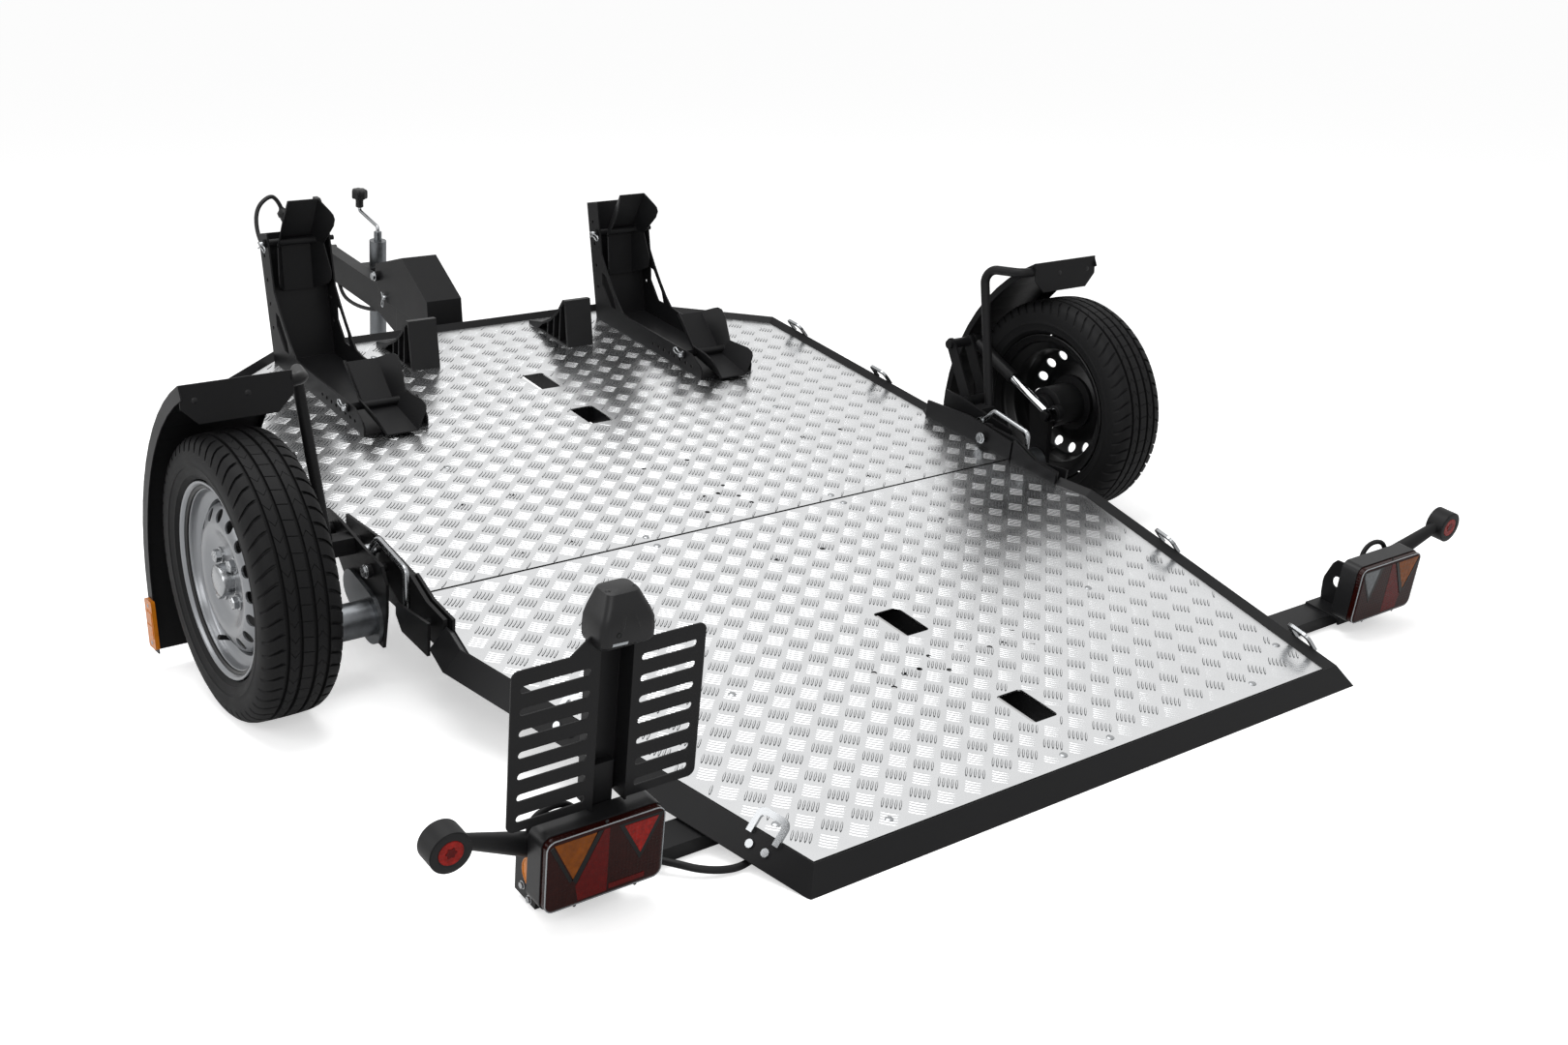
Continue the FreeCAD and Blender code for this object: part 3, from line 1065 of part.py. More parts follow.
def make_lamps():
    """Rear lamp arms with their brackets, lamps, markers and round side reflectors."""
    x0 = ARM_X - ARM_W / 2.0
    x1 = ARM_X + ARM_W / 2.0
    top = ARM_TOP
    t = SHEET_T
    start = SPINE_Y + BEAM_W / 2.0
    back = LAMP_FACE_X + LAMP_D
    arm = box(x0, x1, start, ARM_END, top - ARM_H, top)
    arm = arm.cut(box(x0 + t, x1 - t, start - 1.0, ARM_END - t, top - ARM_H + t, top - t))
    plate = box(back, back + 4.0, LAMP_Y - 60.0, ARM_END, top - 10.0, LAMP_MID_H + 46.0)
    shelf = box(back, x1, LAMP_Y - 60.0, ARM_END, top, top + 4.0)
    tab = box(back, x1, ARM_END - 4.0, ARM_END, top, REFLECTOR_R + 12.0)
    tab = tab.makeChamfer(24.0, [e for e in tab.Edges if e.CenterOfMass.x > x1 - 0.1 and
                                 e.CenterOfMass.z > REFLECTOR_R + 11.9 and abs(e.Length - 4.0) < 0.01])
    arm = fused(arm, plate, shelf, tab)
    both_sides("lamp_arm", on_deck(arm))
    low = LAMP_MID_H - LAMP_H / 2.0
    high = LAMP_MID_H + LAMP_H / 2.0
    y0 = LAMP_Y - LAMP_W / 2.0
    y1 = LAMP_Y + LAMP_W / 2.0
    shell = rounded_along_x(LAMP_FACE_X + LENS_D, back, y0, y1, low, high, LAMP_CORNER_R)
    lens = rounded_along_x(LAMP_FACE_X, LAMP_FACE_X + LENS_D, y0 + 2.0, y1 - 2.0, low + 2.0, high - 2.0,
                           LAMP_CORNER_R - 2.0)
    lens = lens.makeFillet(6.0, [e for e in lens.Edges if abs(e.CenterOfMass.x - LAMP_FACE_X) < 0.1])
    both_sides("rear_lamp_body", on_deck(shell))
    both_sides("rear_lamp_lens", on_deck(lens))
    root = Vector(back + 28.0, ARM_END - 6.0, LAMP_MID_H)
    tip = Vector(MARKER_X, MARKER_Y - MARKER_R + 8.0, MARKER_H)
    cone = Part.makeCone(20.0, 11.0, (tip - root).Length, root, tip - root)
    boot = box(back + 4.0, back + 34.0, ARM_END - 32.0, ARM_END + 2.0, LAMP_MID_H - 20.0, LAMP_MID_H + 18.0)
    head = rod((MARKER_X - MARKER_L / 2, MARKER_Y, MARKER_H), (MARKER_X + MARKER_L / 2, MARKER_Y, MARKER_H), MARKER_R)
    both_sides("marker_lamp", on_deck(fused(cone, boot, head).cut(arm)))
    disc = cross_rod(back + REFLECTOR_R + 2.0, REFLECTOR_H, ARM_END, ARM_END + REFLECTOR_T, REFLECTOR_R)
    keep("round_reflectors", on_deck(disc), mirrored(on_deck(disc)))


def rounded_along_x(x0, x1, y0, y1, z0, z1, radius):
    """Block with rounded corners seen along X."""
    block = box(x0, x1, y0, y1, z0, z1)
    return block.makeFillet(radius, [e for e in block.Edges if abs(e.CenterOfMass.x - (x0 + x1) / 2) < 0.1])


def plate_slot(x0, x1, y0, y1, z0):
    """Slot cutter with round ends."""
    r = HOLDER_SLOT_H / 2.0
    middle = box(x0, x1, y0 + r, y1 - r, z0, z0 + 2 * r)
    ends = [rod((x0, y, z0 + r), (x1, y, z0 + r), r) for y in (y0 + r, y1 - r)]
    return fused(middle, *ends)


def make_plate_holder():
    """Number plate holder on the left lamp arm: a channel with two slotted leaves, and its lamp."""
    x = HOLDER_X
    t = HOLDER_T
    y0, y1 = HOLDER_COLUMN
    deep = x + HOLDER_COLUMN_D
    back = LAMP_FACE_X + LAMP_D
    foot = LAMP_MID_H + LAMP_H / 2.0 + 4.0
    top = HOLDER_TOP_H + 10.0
    channel = box(x, deep, y0, y1, foot, top).cut(box(x - 1, deep - t, y0 + t, y1 - t, foot - 1, top + 1))
    strut = box(back + 4.0, deep, y0 + 12.0, y1 - 12.0, LAMP_MID_H, foot + 60.0)
    shapes = [channel, strut]
    for low, high in ((HOLDER_LEAF_INNER, y0 + t), (y1 - t, HOLDER_LEAF_OUTER)):
        shapes.append(holder_leaf(x, low, high))
    shoulder = [(y1 - t, HOLDER_TOP_H - 1), (y1 + 46.0, HOLDER_TOP_H - 1), (y1 + 12.0, HOLDER_TOP_H + 26.0),
                (y1, HOLDER_TOP_H + 64.0), (y1 - t, HOLDER_TOP_H + 64.0)]
    face = face_of([Vector(x, y, h) for y, h in shoulder])
    shapes.append(face.extrude(Vector(t, 0, 0)))
    holder = fused(*shapes)
    keep("plate_holder", on_deck(holder))
    mid = (y0 + y1) / 2.0
    base = HOLDER_TOP_H + 8.0
    cap = HOLDER_TOP_H + PLATE_LAMP_H
    low = [Vector(x - 24, mid - 42, base), Vector(x + 34, mid - 42, base), Vector(x + 34, mid + 42, base),
           Vector(x - 24, mid + 42, base)]
    brow = [Vector(x - 28, mid - 44, base + 28), Vector(x + 34, mid - 44, base + 28),
            Vector(x + 34, mid + 44, base + 28), Vector(x - 28, mid + 44, base + 28)]
    roof = [Vector(x - 6, mid - 30, cap), Vector(x + 30, mid - 30, cap), Vector(x + 30, mid + 30, cap),
            Vector(x - 6, mid + 30, cap)]
    rings = [Part.makePolygon(ring + [ring[0]]) for ring in (low, brow, roof)]
    hood = Part.makeLoft(rings, True, True)
    keep("plate_lamp", on_deck(hood.cut(holder)))


def holder_leaf(x, y0, y1):
    """One leaf with rounded corners and its row of slots."""
    t = HOLDER_T
    leaf = box(x, x + t, y0, y1, HOLDER_LOW_H, HOLDER_TOP_H)
    outer = y1 if y1 > HOLDER_COLUMN[1] else y0
    corners = [e for e in leaf.Edges if abs(e.Length - t) < 0.01 and abs(e.CenterOfMass.y - outer) < 0.1]
    leaf = leaf.makeFillet(HOLDER_EDGE - 2.0, corners)
    for i in range(HOLDER_SLOTS):
        h = HOLDER_LOW_H + HOLDER_EDGE + i * HOLDER_SLOT_PITCH
        leaf = leaf.cut(plate_slot(x - 1, x + t + 1, y0 + HOLDER_EDGE, y1 - HOLDER_EDGE, h))
    return leaf


make_decks()
make_fold_brackets()
make_fold_plates()
make_latches()
make_axles()
make_arms()
make_wheels()
make_dampers()
make_masts()
make_mudguards()
make_guard_tubes()
make_chock(1, 285.0)
make_chock(-1, 228.0)
make_wedges()
make_loops()
make_housing()
make_drawbar()
make_coupling()
make_jack()
make_lamps()
make_plate_holder()

os.makedirs("parts", exist_ok=True)
for name, solids in NODES.items():
    Part.makeCompound(solids).exportStep("parts/" + name + ".step")
    print(name, len(solids), round(sum(s.Volume for s in solids)))
print(len(NODES), "nodes")
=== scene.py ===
"""Dressed model of a folding two-motorcycle trailer that stands tipped back on its rear lip.

Sizes are in millimetres until a mesh is made, because the trailer's parts are made in millimetres.
Deck coordinates run forwards from the plate's rear edge, to the left and up from its top face.
"""

import logging
import math
from dataclasses import dataclass, field
from enum import Enum
from typing import Sequence

import bmesh
import bpy
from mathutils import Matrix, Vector


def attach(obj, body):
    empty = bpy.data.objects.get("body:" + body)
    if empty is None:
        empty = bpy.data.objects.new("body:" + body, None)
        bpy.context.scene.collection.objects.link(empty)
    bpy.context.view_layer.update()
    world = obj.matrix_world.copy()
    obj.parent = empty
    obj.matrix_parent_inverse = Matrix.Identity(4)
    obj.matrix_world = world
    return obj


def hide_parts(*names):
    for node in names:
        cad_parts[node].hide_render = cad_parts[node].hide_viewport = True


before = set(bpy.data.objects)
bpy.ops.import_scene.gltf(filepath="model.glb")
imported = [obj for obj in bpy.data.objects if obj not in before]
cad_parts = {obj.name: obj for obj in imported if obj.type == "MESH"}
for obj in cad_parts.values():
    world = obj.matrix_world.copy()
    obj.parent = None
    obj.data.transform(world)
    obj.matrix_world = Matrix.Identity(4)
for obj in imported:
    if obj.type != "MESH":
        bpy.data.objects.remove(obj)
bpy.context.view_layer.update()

LOG = logging.getLogger("trailer")
MM = 0.001
TILT = math.radians(9.0)
DECK_ORIGIN = Vector((41.469, 0.0, 30.326))
AHEAD = Vector((math.cos(TILT), 0.0, math.sin(TILT)))
LEFT = Vector((0.0, 1.0, 0.0))
UP = Vector((-math.sin(TILT), 0.0, math.cos(TILT)))

Point = tuple[float, float, float]
Pair = tuple[float, float]
Route = tuple[Point, ...]
Settings = dict[str, object]
Links = dict[str, bpy.types.NodeSocket]


class Side(Enum):
    """The trailer's two sides, by the sign of y."""

    LEFT = 1.0
    RIGHT = -1.0

    @property
    def tag(self) -> str:
        """The side's word in body and piece names."""
        return self.name.lower()


def deck(x: float, y: float, h: float) -> Vector:
    """World place, in millimetres, of a point in deck coordinates.

    Args:
        x: Forwards from the plate's rear edge.
        y: To the left of the middle.
        h: Up from the plate's top face.

    Returns:
        The point in the model's own frame.
    """
    return DECK_ORIGIN + AHEAD * x + LEFT * y + UP * h


def linear(code: str) -> tuple[float, float, float, float]:
    """Linear colour of an sRGB hex code.

    Args:
        code: Six hex digits with a leading hash.

    Returns:
        Red, green, blue and an alpha of one.
    """
    def channel(start: int) -> float:
        """One channel of the code, made linear."""
        value = int(code[start:start + 2], 16) / 255.0
        return value / 12.92 if value <= 0.04045 else ((value + 0.055) / 1.055) ** 2.4

    return channel(1), channel(3), channel(5), 1.0


def add_node(tree: bpy.types.NodeTree, kind: str, settings: Settings | None = None,
             links: Links | None = None) -> bpy.types.Node:
    """Add a shader node, set it up and link its inputs.

    Args:
        tree: The material's or world's node tree.
        kind: The node's type name.
        settings: Values by property name, or by input name.
        links: Output sockets by the input that they feed.

    Returns:
        The new node.
    """
    node = tree.nodes.new(kind)
    for key, value in (settings or {}).items():
        if isinstance(key, int) or key in node.inputs:
            node.inputs[key].default_value = value
        else:
            setattr(node, key, value)
    for key, socket in (links or {}).items():
        tree.links.new(socket, node.inputs[key])
    return node


class Relief(Enum):
    """Small relief that a finish carries, by the texture that makes it."""

    GRAIN = "grain"
    PRISMS = "prisms"
    BRUSHED = "brushed"


@dataclass(frozen=True)
class Finish:
    """A surface finish: what it is made of and how it was made."""

    name: str
    slot: str
    colour: str
    roughness: float
    metallic: float = 0.0
    grain_mm: float = 1.0
    relief_mm: float = 0.0
    mottle: float = 0.0
    mottle_mm: float = 60.0
    roughness_spread: float = 0.05
    coat: float = 0.0
    specular: float = 0.5
    relief: Relief = Relief.GRAIN
    edge_mm: float = 0.0

    def material(self) -> bpy.types.Material:
        """Make the finish's material on first use.

        Returns:
            The material.
        """
        found = bpy.data.materials.get(self.name)
        if found is not None:
            return found
        made = bpy.data.materials.new(self.name)
        made.use_nodes = True
        self.dress(made.node_tree)
        return made

    def height(self, tree: bpy.types.NodeTree, place: bpy.types.NodeSocket) -> bpy.types.NodeSocket:
        """Relief height of the surface, from nought to one.

        Args:
            tree: The material's node tree.
            place: The surface's own coordinates, in metres.

        Returns:
            The socket that gives the height.
        """
        if self.relief is Relief.PRISMS:
            cells = add_node(tree, "ShaderNodeTexVoronoi", {"Scale": 1000.0 / self.grain_mm, "Randomness": 0.15},
                             {"Vector": place})
            return cells.outputs["Distance"]
        if self.relief is Relief.BRUSHED:
            drawn = add_node(tree, "ShaderNodeMapping", {"Scale": (1.0, 0.06, 1.0)}, {"Vector": place})
            return add_node(tree, "ShaderNodeTexNoise", {"Scale": 1000.0 / self.grain_mm, "Detail": 3.0},
                            {"Vector": drawn.outputs["Vector"]}).outputs["Fac"]
        return add_node(tree, "ShaderNodeTexNoise", {"Scale": 1000.0 / self.grain_mm, "Detail": 2.0},
                        {"Vector": place}).outputs["Fac"]

    def dress(self, tree: bpy.types.NodeTree) -> None:
        """Fill a material's tree.

        Args:
            tree: The new material's node tree.
        """
        tree.nodes.clear()
        place = add_node(tree, "ShaderNodeTexCoord").outputs["Object"]
        cloud = add_node(tree, "ShaderNodeTexNoise", {"Scale": 1000.0 / self.mottle_mm, "Detail": 3.0},
                         {"Vector": place}).outputs["Fac"]
        colour = add_node(tree, "ShaderNodeMixRGB", {"blend_type": "MULTIPLY", "Fac": self.mottle,
                                                     "Color1": linear(self.colour)}, {"Color2": cloud})
        rough = add_node(tree, "ShaderNodeMapRange", {"To Min": self.roughness - self.roughness_spread,
                                                      "To Max": self.roughness + self.roughness_spread},
                         {"Value": cloud})
        bump = add_node(tree, "ShaderNodeBump", {"Strength": 0.6, "Distance": self.relief_mm * MM},
                        {"Height": self.height(tree, place)})
        if self.edge_mm > 0.0:
            edge = add_node(tree, "ShaderNodeBevel", {"samples": 4, "Radius": self.edge_mm * MM})
            tree.links.new(edge.outputs["Normal"], bump.inputs["Normal"])
        shader = add_node(tree, "ShaderNodeBsdfPrincipled",
                          {"Metallic": self.metallic, "Coat Weight": self.coat, "Coat Roughness": 0.1,
                           "Specular IOR Level": self.specular},
                          {"Base Color": colour.outputs["Color"], "Roughness": rough.outputs["Result"],
                           "Normal": bump.outputs["Normal"]})
        add_node(tree, "ShaderNodeOutputMaterial", None, {"Surface": shader.outputs[0]})


# Polyester powder coat on folded steel: fine orange peel, and folded edges that catch a thin light.
POWDER_COAT = Finish("Powder_coat_black_satin", "dark_coat", "#171718", 0.4, grain_mm=1.4, relief_mm=0.05,
                     mottle=0.15, specular=0.14, edge_mm=1.6)
# Rolled aluminium sheet: a bright mill finish that mirrors dark things as soft blurs.
ROLLED_ALUMINIUM = Finish("Aluminium_tread_sheet_rolled", "tread_aluminium", "#dfe0e1", 0.24, 1.0, 2.5, 0.03,
                          0.1, 90.0, 0.06, relief=Relief.BRUSHED)
# Painted shade on the flanks of the raised bars: a dark metal colour that stands in for the shade and dark
# reflections round each bright top.
BAR_FLANK_PAINTED_SHADE = Finish("Aluminium_tread_bar_flank", "tread_aluminium", "#4a4c4e", 0.5, 0.8, 1.5, 0.03, 0.1, 40.0)
# Hot dip zinc: pale grey with cloudy spangle.
GALVANISED = Finish("Steel_hot_dip_galvanised", "galvanised", "#7d8083", 0.36, 1.0, 6.0, 0.03, 0.4, 14.0, 0.1)
# Electroplated zinc: clean bright grey of bolts, clips and loops.
ZINC_PLATE = Finish("Steel_zinc_plated_bright", "zinc", "#a6a8aa", 0.26, 1.0, 1.0, 0.01, 0.2, 20.0, 0.06,
                    edge_mm=0.6)
# Ground and hard chromed rod: a clear mirror stripe.
HARD_CHROME = Finish("Steel_rod_hard_chromed", "chrome", "#d8dadc", 0.08, 1.0, 0.5, 0.0, 0.03, 40.0, 0.02)
# Wheel paint over pressed steel: fine metallic silver.
WHEEL_SILVER = Finish("Wheel_paint_silver_sprayed", "rim_silver", "#85878a", 0.34, 0.75, 0.6, 0.02, 0.1, 80.0,
                      0.05, 0.2, edge_mm=1.0)
# Painted shade: the wheel's inboard side, silver on the real rim, is coloured near black where little light reaches.
WHEEL_INBOARD_PAINTED_SHADE = Finish("Wheel_primer_black_dipped", "rim_silver", "#0e0e0f", 0.36, 0.0, 1.2, 0.04, 0.3, 50.0, 0.08,
                      specular=0.3, edge_mm=1.0)
# Tyre rubber, moulded: dull black with a faint bloom.
TYRE_RUBBER = Finish("Tyre_rubber_moulded", "tyre", "#101011", 0.6, 0.0, 1.2, 0.08, 0.3, 45.0, 0.08,
                     specular=0.16)
# Sand cast iron under black paint: a coarse dull skin.
CASTING = Finish("Cast_iron_painted_black", "cast", "#151516", 0.45, 0.0, 2.2, 0.25, 0.2, 30.0, specular=0.25,
                 edge_mm=1.5)
# EPDM rubber, moulded: soft black lamp arms, grips and hoses.
EPDM = Finish("EPDM_rubber_moulded", "black_rubber", "#131314", 0.5, 0.0, 1.0, 0.04, 0.15, 30.0, specular=0.2)
# Polypropylene, moulded with a fine spark texture.
POLYPROPYLENE = Finish("Polypropylene_moulded_fine_grain", "black_plastic", "#161617", 0.4, 0.0, 0.8, 0.05, 0.1,
                       40.0, specular=0.25, edge_mm=1.2)
# PVC cable sheath, extruded: smooth black with a soft sheen.
PVC_SHEATH = Finish("PVC_cable_sheath_extruded", "black_rubber", "#0f0f10", 0.36, 0.0, 0.6, 0.01, 0.05, 25.0,
                    specular=0.3)
# Amber acrylic reflector with a moulded prism back.
AMBER_ACRYLIC = Finish("Acrylic_amber_prisms_moulded", "amber", "#c77208", 0.22, 0.0, 3.0, 0.6, 0.3, 9.0, 0.05,
                       specular=0.3, relief=Relief.PRISMS)
# Amber turn lens over a dark bowl: square optics show through it.
AMBER_LENS = Finish("Acrylic_amber_lens_moulded", "lamp_lens", "#8a4806", 0.15, 0.0, 11.0, 1.6, 0.75, 12.0, 0.05,
                    specular=0.14, relief=Relief.PRISMS)
# Red acrylic lamp lens over an unlit bowl: nearly black red.
RED_LENS = Finish("Acrylic_red_lens_moulded", "lamp_lens", "#2b0b07", 0.12, 0.0, 6.0, 0.5, 0.6, 14.0, 0.04,
                  specular=0.12, relief=Relief.PRISMS)
# Red acrylic where the bowl behind it is pale.
RED_BRIGHT = Finish("Acrylic_red_lens_pale_bowl", "lamp_lens", "#5c0a08", 0.13, 0.0, 4.0, 0.8, 0.55, 10.0, 0.04,
                    specular=0.12, relief=Relief.PRISMS)
# Red reflex studs of the triangle and the marker's eye.
RED_REFLEX = Finish("Acrylic_red_reflex_studs", "lamp_lens", "#a01a12", 0.14, 0.0, 6.0, 1.4, 0.9, 7.0, 0.04,
                    specular=0.14, relief=Relief.PRISMS)
# Clear acrylic edge of a lens, polished: it gathers a pale line of light.
CLEAR_EDGE = Finish("Acrylic_clear_edge_polished", "lamp_lens", "#9b9fa2", 0.12, 0.4, 2.0, 0.02, 0.2, 20.0, 0.03)
# Clear reverse lens with moulded studs over a dim bowl.
CLEAR_STUDS = Finish("Acrylic_clear_studs_moulded", "lamp_lens", "#6f7376", 0.16, 0.2, 8.0, 1.4, 0.7, 8.0, 0.04,
                     specular=0.2, relief=Relief.PRISMS)
# Black dividing bars inside the lens, moulded and glossy.
LENS_DIVIDER = Finish("Acrylic_black_divider_moulded", "black_plastic", "#060606", 0.16, 0.0, 2.0, 0.0, 0.05, 20.0,
                      0.03, specular=0.2)

NODE_FINISHES: dict[Finish, tuple[str, ...]] = {
    POWDER_COAT: ("rear_frame", "front_frame", "fold_bracket", "fold_hinge_plate", "swing_arm", "damper_barrel",
                  "side_mast", "mudguard", "chock_base", "lower_cradle", "upper_cradle", "drawbar_socket",
                  "hinge_cover", "drawbar", "lamp_arm", "plate_holder"),
    ROLLED_ALUMINIUM: ("rear_tread_plate", "front_tread_plate"),
    GALVANISED: ("axle_tube", "jack_tube", "jack_leg"),
    ZINC_PLATE: ("fold_latch", "jack_crank", "lashing_loops_front", "lashing_loops_rear"),
    HARD_CHROME: ("damper_rod",),
    WHEEL_SILVER: ("wheel_rim",),
    TYRE_RUBBER: ("tyre",),
    CASTING: ("wheel_hub", "coupling_head"),
    EPDM: ("marker_lamp",),
    POLYPROPYLENE: ("wedge_blocks", "rear_lamp_body", "plate_lamp", "coupling_handle", "crank_knob"),
    RED_LENS: ("rear_lamp_lens",),
    AMBER_ACRYLIC: ("side_reflectors", "round_reflectors"),
}


def dress_nodes() -> None:
    """Give every carried-over node its finish."""
    for finish, stems in NODE_FINISHES.items():
        for stem in stems:
            for name in (stem, stem + "_left", stem + "_right"):
                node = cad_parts.get(name)
                if node is None:
                    continue
                node.data.materials.clear()
                node.data.materials.append(finish.material())
                LOG.info("%s: %s", name, finish.name)


def across(axis: Vector) -> tuple[Vector, Vector]:
    """Two unit vectors square to an axis and to each other.

    Args:
        axis: The axis, of any length.

    Returns:
        The two vectors, which with the axis make a right-handed set.
    """
    way = axis.normalized()
    first = way.cross(Vector((0, 0, 1)) if abs(way.z) < 0.9 else Vector((1, 0, 0))).normalized()
    return first, way.cross(first)


def band(first: int, second: int, count: int) -> list[tuple[int, ...]]:
    """Four-sided faces between two closed rings of points.

    Args:
        first: Number of the first ring's first point.
        second: Number of the second ring's first point.
        count: Points in each ring.

    Returns:
        The point numbers of each face.
    """
    return [(first + k, first + (k + 1) % count, second + (k + 1) % count, second + k) for k in range(count)]


@dataclass
class Piece:
    """Mesh piece in the making, in millimetres, with a finish for each face."""

    name: str
    body: str
    finish: Finish
    points: list[Vector] = field(default_factory=list)
    faces: list[tuple[int, ...]] = field(default_factory=list)
    finishes: list[Finish] = field(default_factory=list)

    def add(self, points: Sequence[Vector], faces: Sequence[Sequence[int]]) -> None:
        """Add points, and faces that number them from nought.

        Args:
            points: World points in millimetres.
            faces: Point numbers of each face.
        """
        first = len(self.points)
        self.points.extend(points)
        self.faces.extend(tuple(first + i for i in face) for face in faces)
        self.finishes.extend([self.finish] * len(faces))

    def loft(self, rings: Sequence[Sequence[Vector]], caps: bool = True) -> None:
        """Skin closed rings of equal length.

        Args:
            rings: The rings, in order.
            caps: Whether the two ends are closed.
        """
        count = len(rings[0])
        faces: list[tuple[int, ...]] = []
        for ring in range(len(rings) - 1):
            faces += band(ring * count, (ring + 1) * count, count)
        if caps:
            last = (len(rings) - 1) * count
            faces.append(tuple(reversed(range(count))))
            faces.append(tuple(last + i for i in range(count)))
        self.add([p for ring in rings for p in ring], faces)

    def turned(self, base: Vector, axis: Vector, profile: Sequence[Pair], steps: int = 24, lobes: int = 0,
               lobe_depth: float = 0.0) -> None:
        """Turn a profile about an axis.

        Args:
            base: Where the axis starts.
            axis: Its unit direction.
            profile: Radius and distance along the axis of each point.
            steps: Points round the axis.
            lobes: How many lobes the rim has, if any.
            lobe_depth: How deep the hollows between lobes are, as a share of the radius.
        """
        first, second = across(axis)
        rings = []
        for radius, along in profile:
            ring = []
            for i in range(steps):
                turn = 2.0 * math.pi * i / steps
                reach = radius * (1.0 - lobe_depth * (0.5 - 0.5 * math.cos(lobes * turn))) if lobes else radius
                ring.append(base + axis * along + (first * math.cos(turn) + second * math.sin(turn)) * reach)
            rings.append(ring)
        self.loft(rings)

    def prism(self, outline: Sequence[Pair], base: Vector, right: Vector, top: Vector, depth: float,
              chamfer: float = 0.0) -> None:
        """Raise a flat outline square to its own plane.

        Args:
            outline: Its corners, right and up from the base.
            base: The plane's own origin.
            right: The plane's unit direction to the right.
            top: The plane's unit direction upwards.
            depth: How far it is raised, along right cross top.
            chamfer: How far the raised face is drawn in.
        """
        out = right.cross(top).normalized()
        mid_x = sum(x for x, _ in outline) / len(outline)
        mid_y = sum(y for _, y in outline) / len(outline)

        def ring(height: float, inset: float) -> list[Vector]:
            """The outline at one height.

            Args:
                height: Its height over the base.
                inset: How far it is drawn in.

            Returns:
                Its corners.
            """
            made = []
            for x, y in outline:
                far = math.hypot(x - mid_x, y - mid_y)
                scale = max(0.0, far - inset) / far if far > 0.0 else 1.0
                made.append(base + right * (mid_x + (x - mid_x) * scale) + top * (mid_y + (y - mid_y) * scale)
                            + out * height)
            return made

        rings = [ring(0.0, 0.0), ring(depth - chamfer, 0.0)]
        if chamfer > 0.0:
            rings.append(ring(depth, chamfer))
        self.loft(rings)

    def tube(self, path: Sequence[Vector], radius: float, steps: int = 10) -> None:
        """Run a round tube along a path.

        Args:
            path: Its centre points.
            radius: Its radius.
            steps: Points round it.
        """
        way = (path[1] - path[0]).normalized()
        first, _ = across(way)
        rings = []
        for i, place in enumerate(path):
            before, after = path[max(0, i - 1)], path[min(len(path) - 1, i + 1)]
            way = (after - before).normalized()
            first = (first - way * first.dot(way)).normalized()
            second = way.cross(first)
            rings.append([place + (first * math.cos(2 * math.pi * k / steps)
                                   + second * math.sin(2 * math.pi * k / steps)) * radius for k in range(steps)])
        self.loft(rings)

    def bolt(self, base: Vector, axis: Vector, radius: float, height: float, spin: float = 0.0) -> None:
        """Set a washer and a chamfered hexagon head on a face.

        Args:
            base: Middle of the seat.
            axis: Unit direction out of the face.
            radius: The hexagon's corner radius.
            height: The head's height above the washer.
            spin: Turn of the hexagon, in degrees.
        """
        washer = 0.16 * radius
        self.turned(base, axis, [(radius * 1.22, 0.0), (radius * 1.22, washer * 0.8), (radius * 1.16, washer)], 20)
        first, second = across(axis)
        turn = math.radians(spin)
        right = first * math.cos(turn) + second * math.sin(turn)
        outline = [(radius * math.cos(math.pi * k / 3), radius * math.sin(math.pi * k / 3)) for k in range(6)]
        self.prism(outline, base + axis * washer, right, axis.cross(right), height, height * 0.16)

    def dome(self, base: Vector, axis: Vector, radius: float, height: float, steps: int = 16) -> None:
        """Set a round button head on a face.

        Args:
            base: Middle of the seat.
            axis: Unit direction out of the face.
            radius: Its radius.
            height: Its height.
            steps: Points round it.
        """
        profile = [(radius * math.cos(t), height * math.sin(t)) for t in (0.0, 0.35, 0.75, 1.15)]
        self.turned(base, axis, [(radius, -0.2)] + profile + [(radius * 0.18, height * 0.99)], steps)

    def make(self, *replaced: str, sharp_deg: float = 32.0, tidy: bool = True,
             weld: bool = False) -> bpy.types.Object:
        """Make the mesh, dress it, let it ride and say what it stands for.

        Args:
            replaced: CAD nodes that it stands for.
            sharp_deg: Angle from which an edge stays sharp.
            tidy: Whether its faces are turned to look outwards.
            weld: Whether points in one place become one.

        Returns:
            The new object.
        """
        mesh = bpy.data.meshes.new(self.name)
        mesh.from_pydata([tuple(p * MM) for p in self.points], [], self.faces)
        used = list(dict.fromkeys(self.finishes))
        for finish in used:
            mesh.materials.append(finish.material())
        mesh.polygons.foreach_set("material_index", [used.index(f) for f in self.finishes])
        if tidy:
            work = bmesh.new()
            work.from_mesh(mesh)
            if weld:
                bmesh.ops.remove_doubles(work, verts=work.verts, dist=0.01 * MM)
            bmesh.ops.recalc_face_normals(work, faces=work.faces)
            work.to_mesh(mesh)
            work.free()
        mesh.shade_smooth()
        mesh.set_sharp_from_angle(angle=math.radians(sharp_deg))
        piece = bpy.data.objects.new(self.name, mesh)
        bpy.context.scene.collection.objects.link(piece)
        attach(piece, self.body)
        if replaced:
            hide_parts(*replaced)
        LOG.info("%s: %d faces on %s", self.name, len(self.faces), self.body)
        return piece


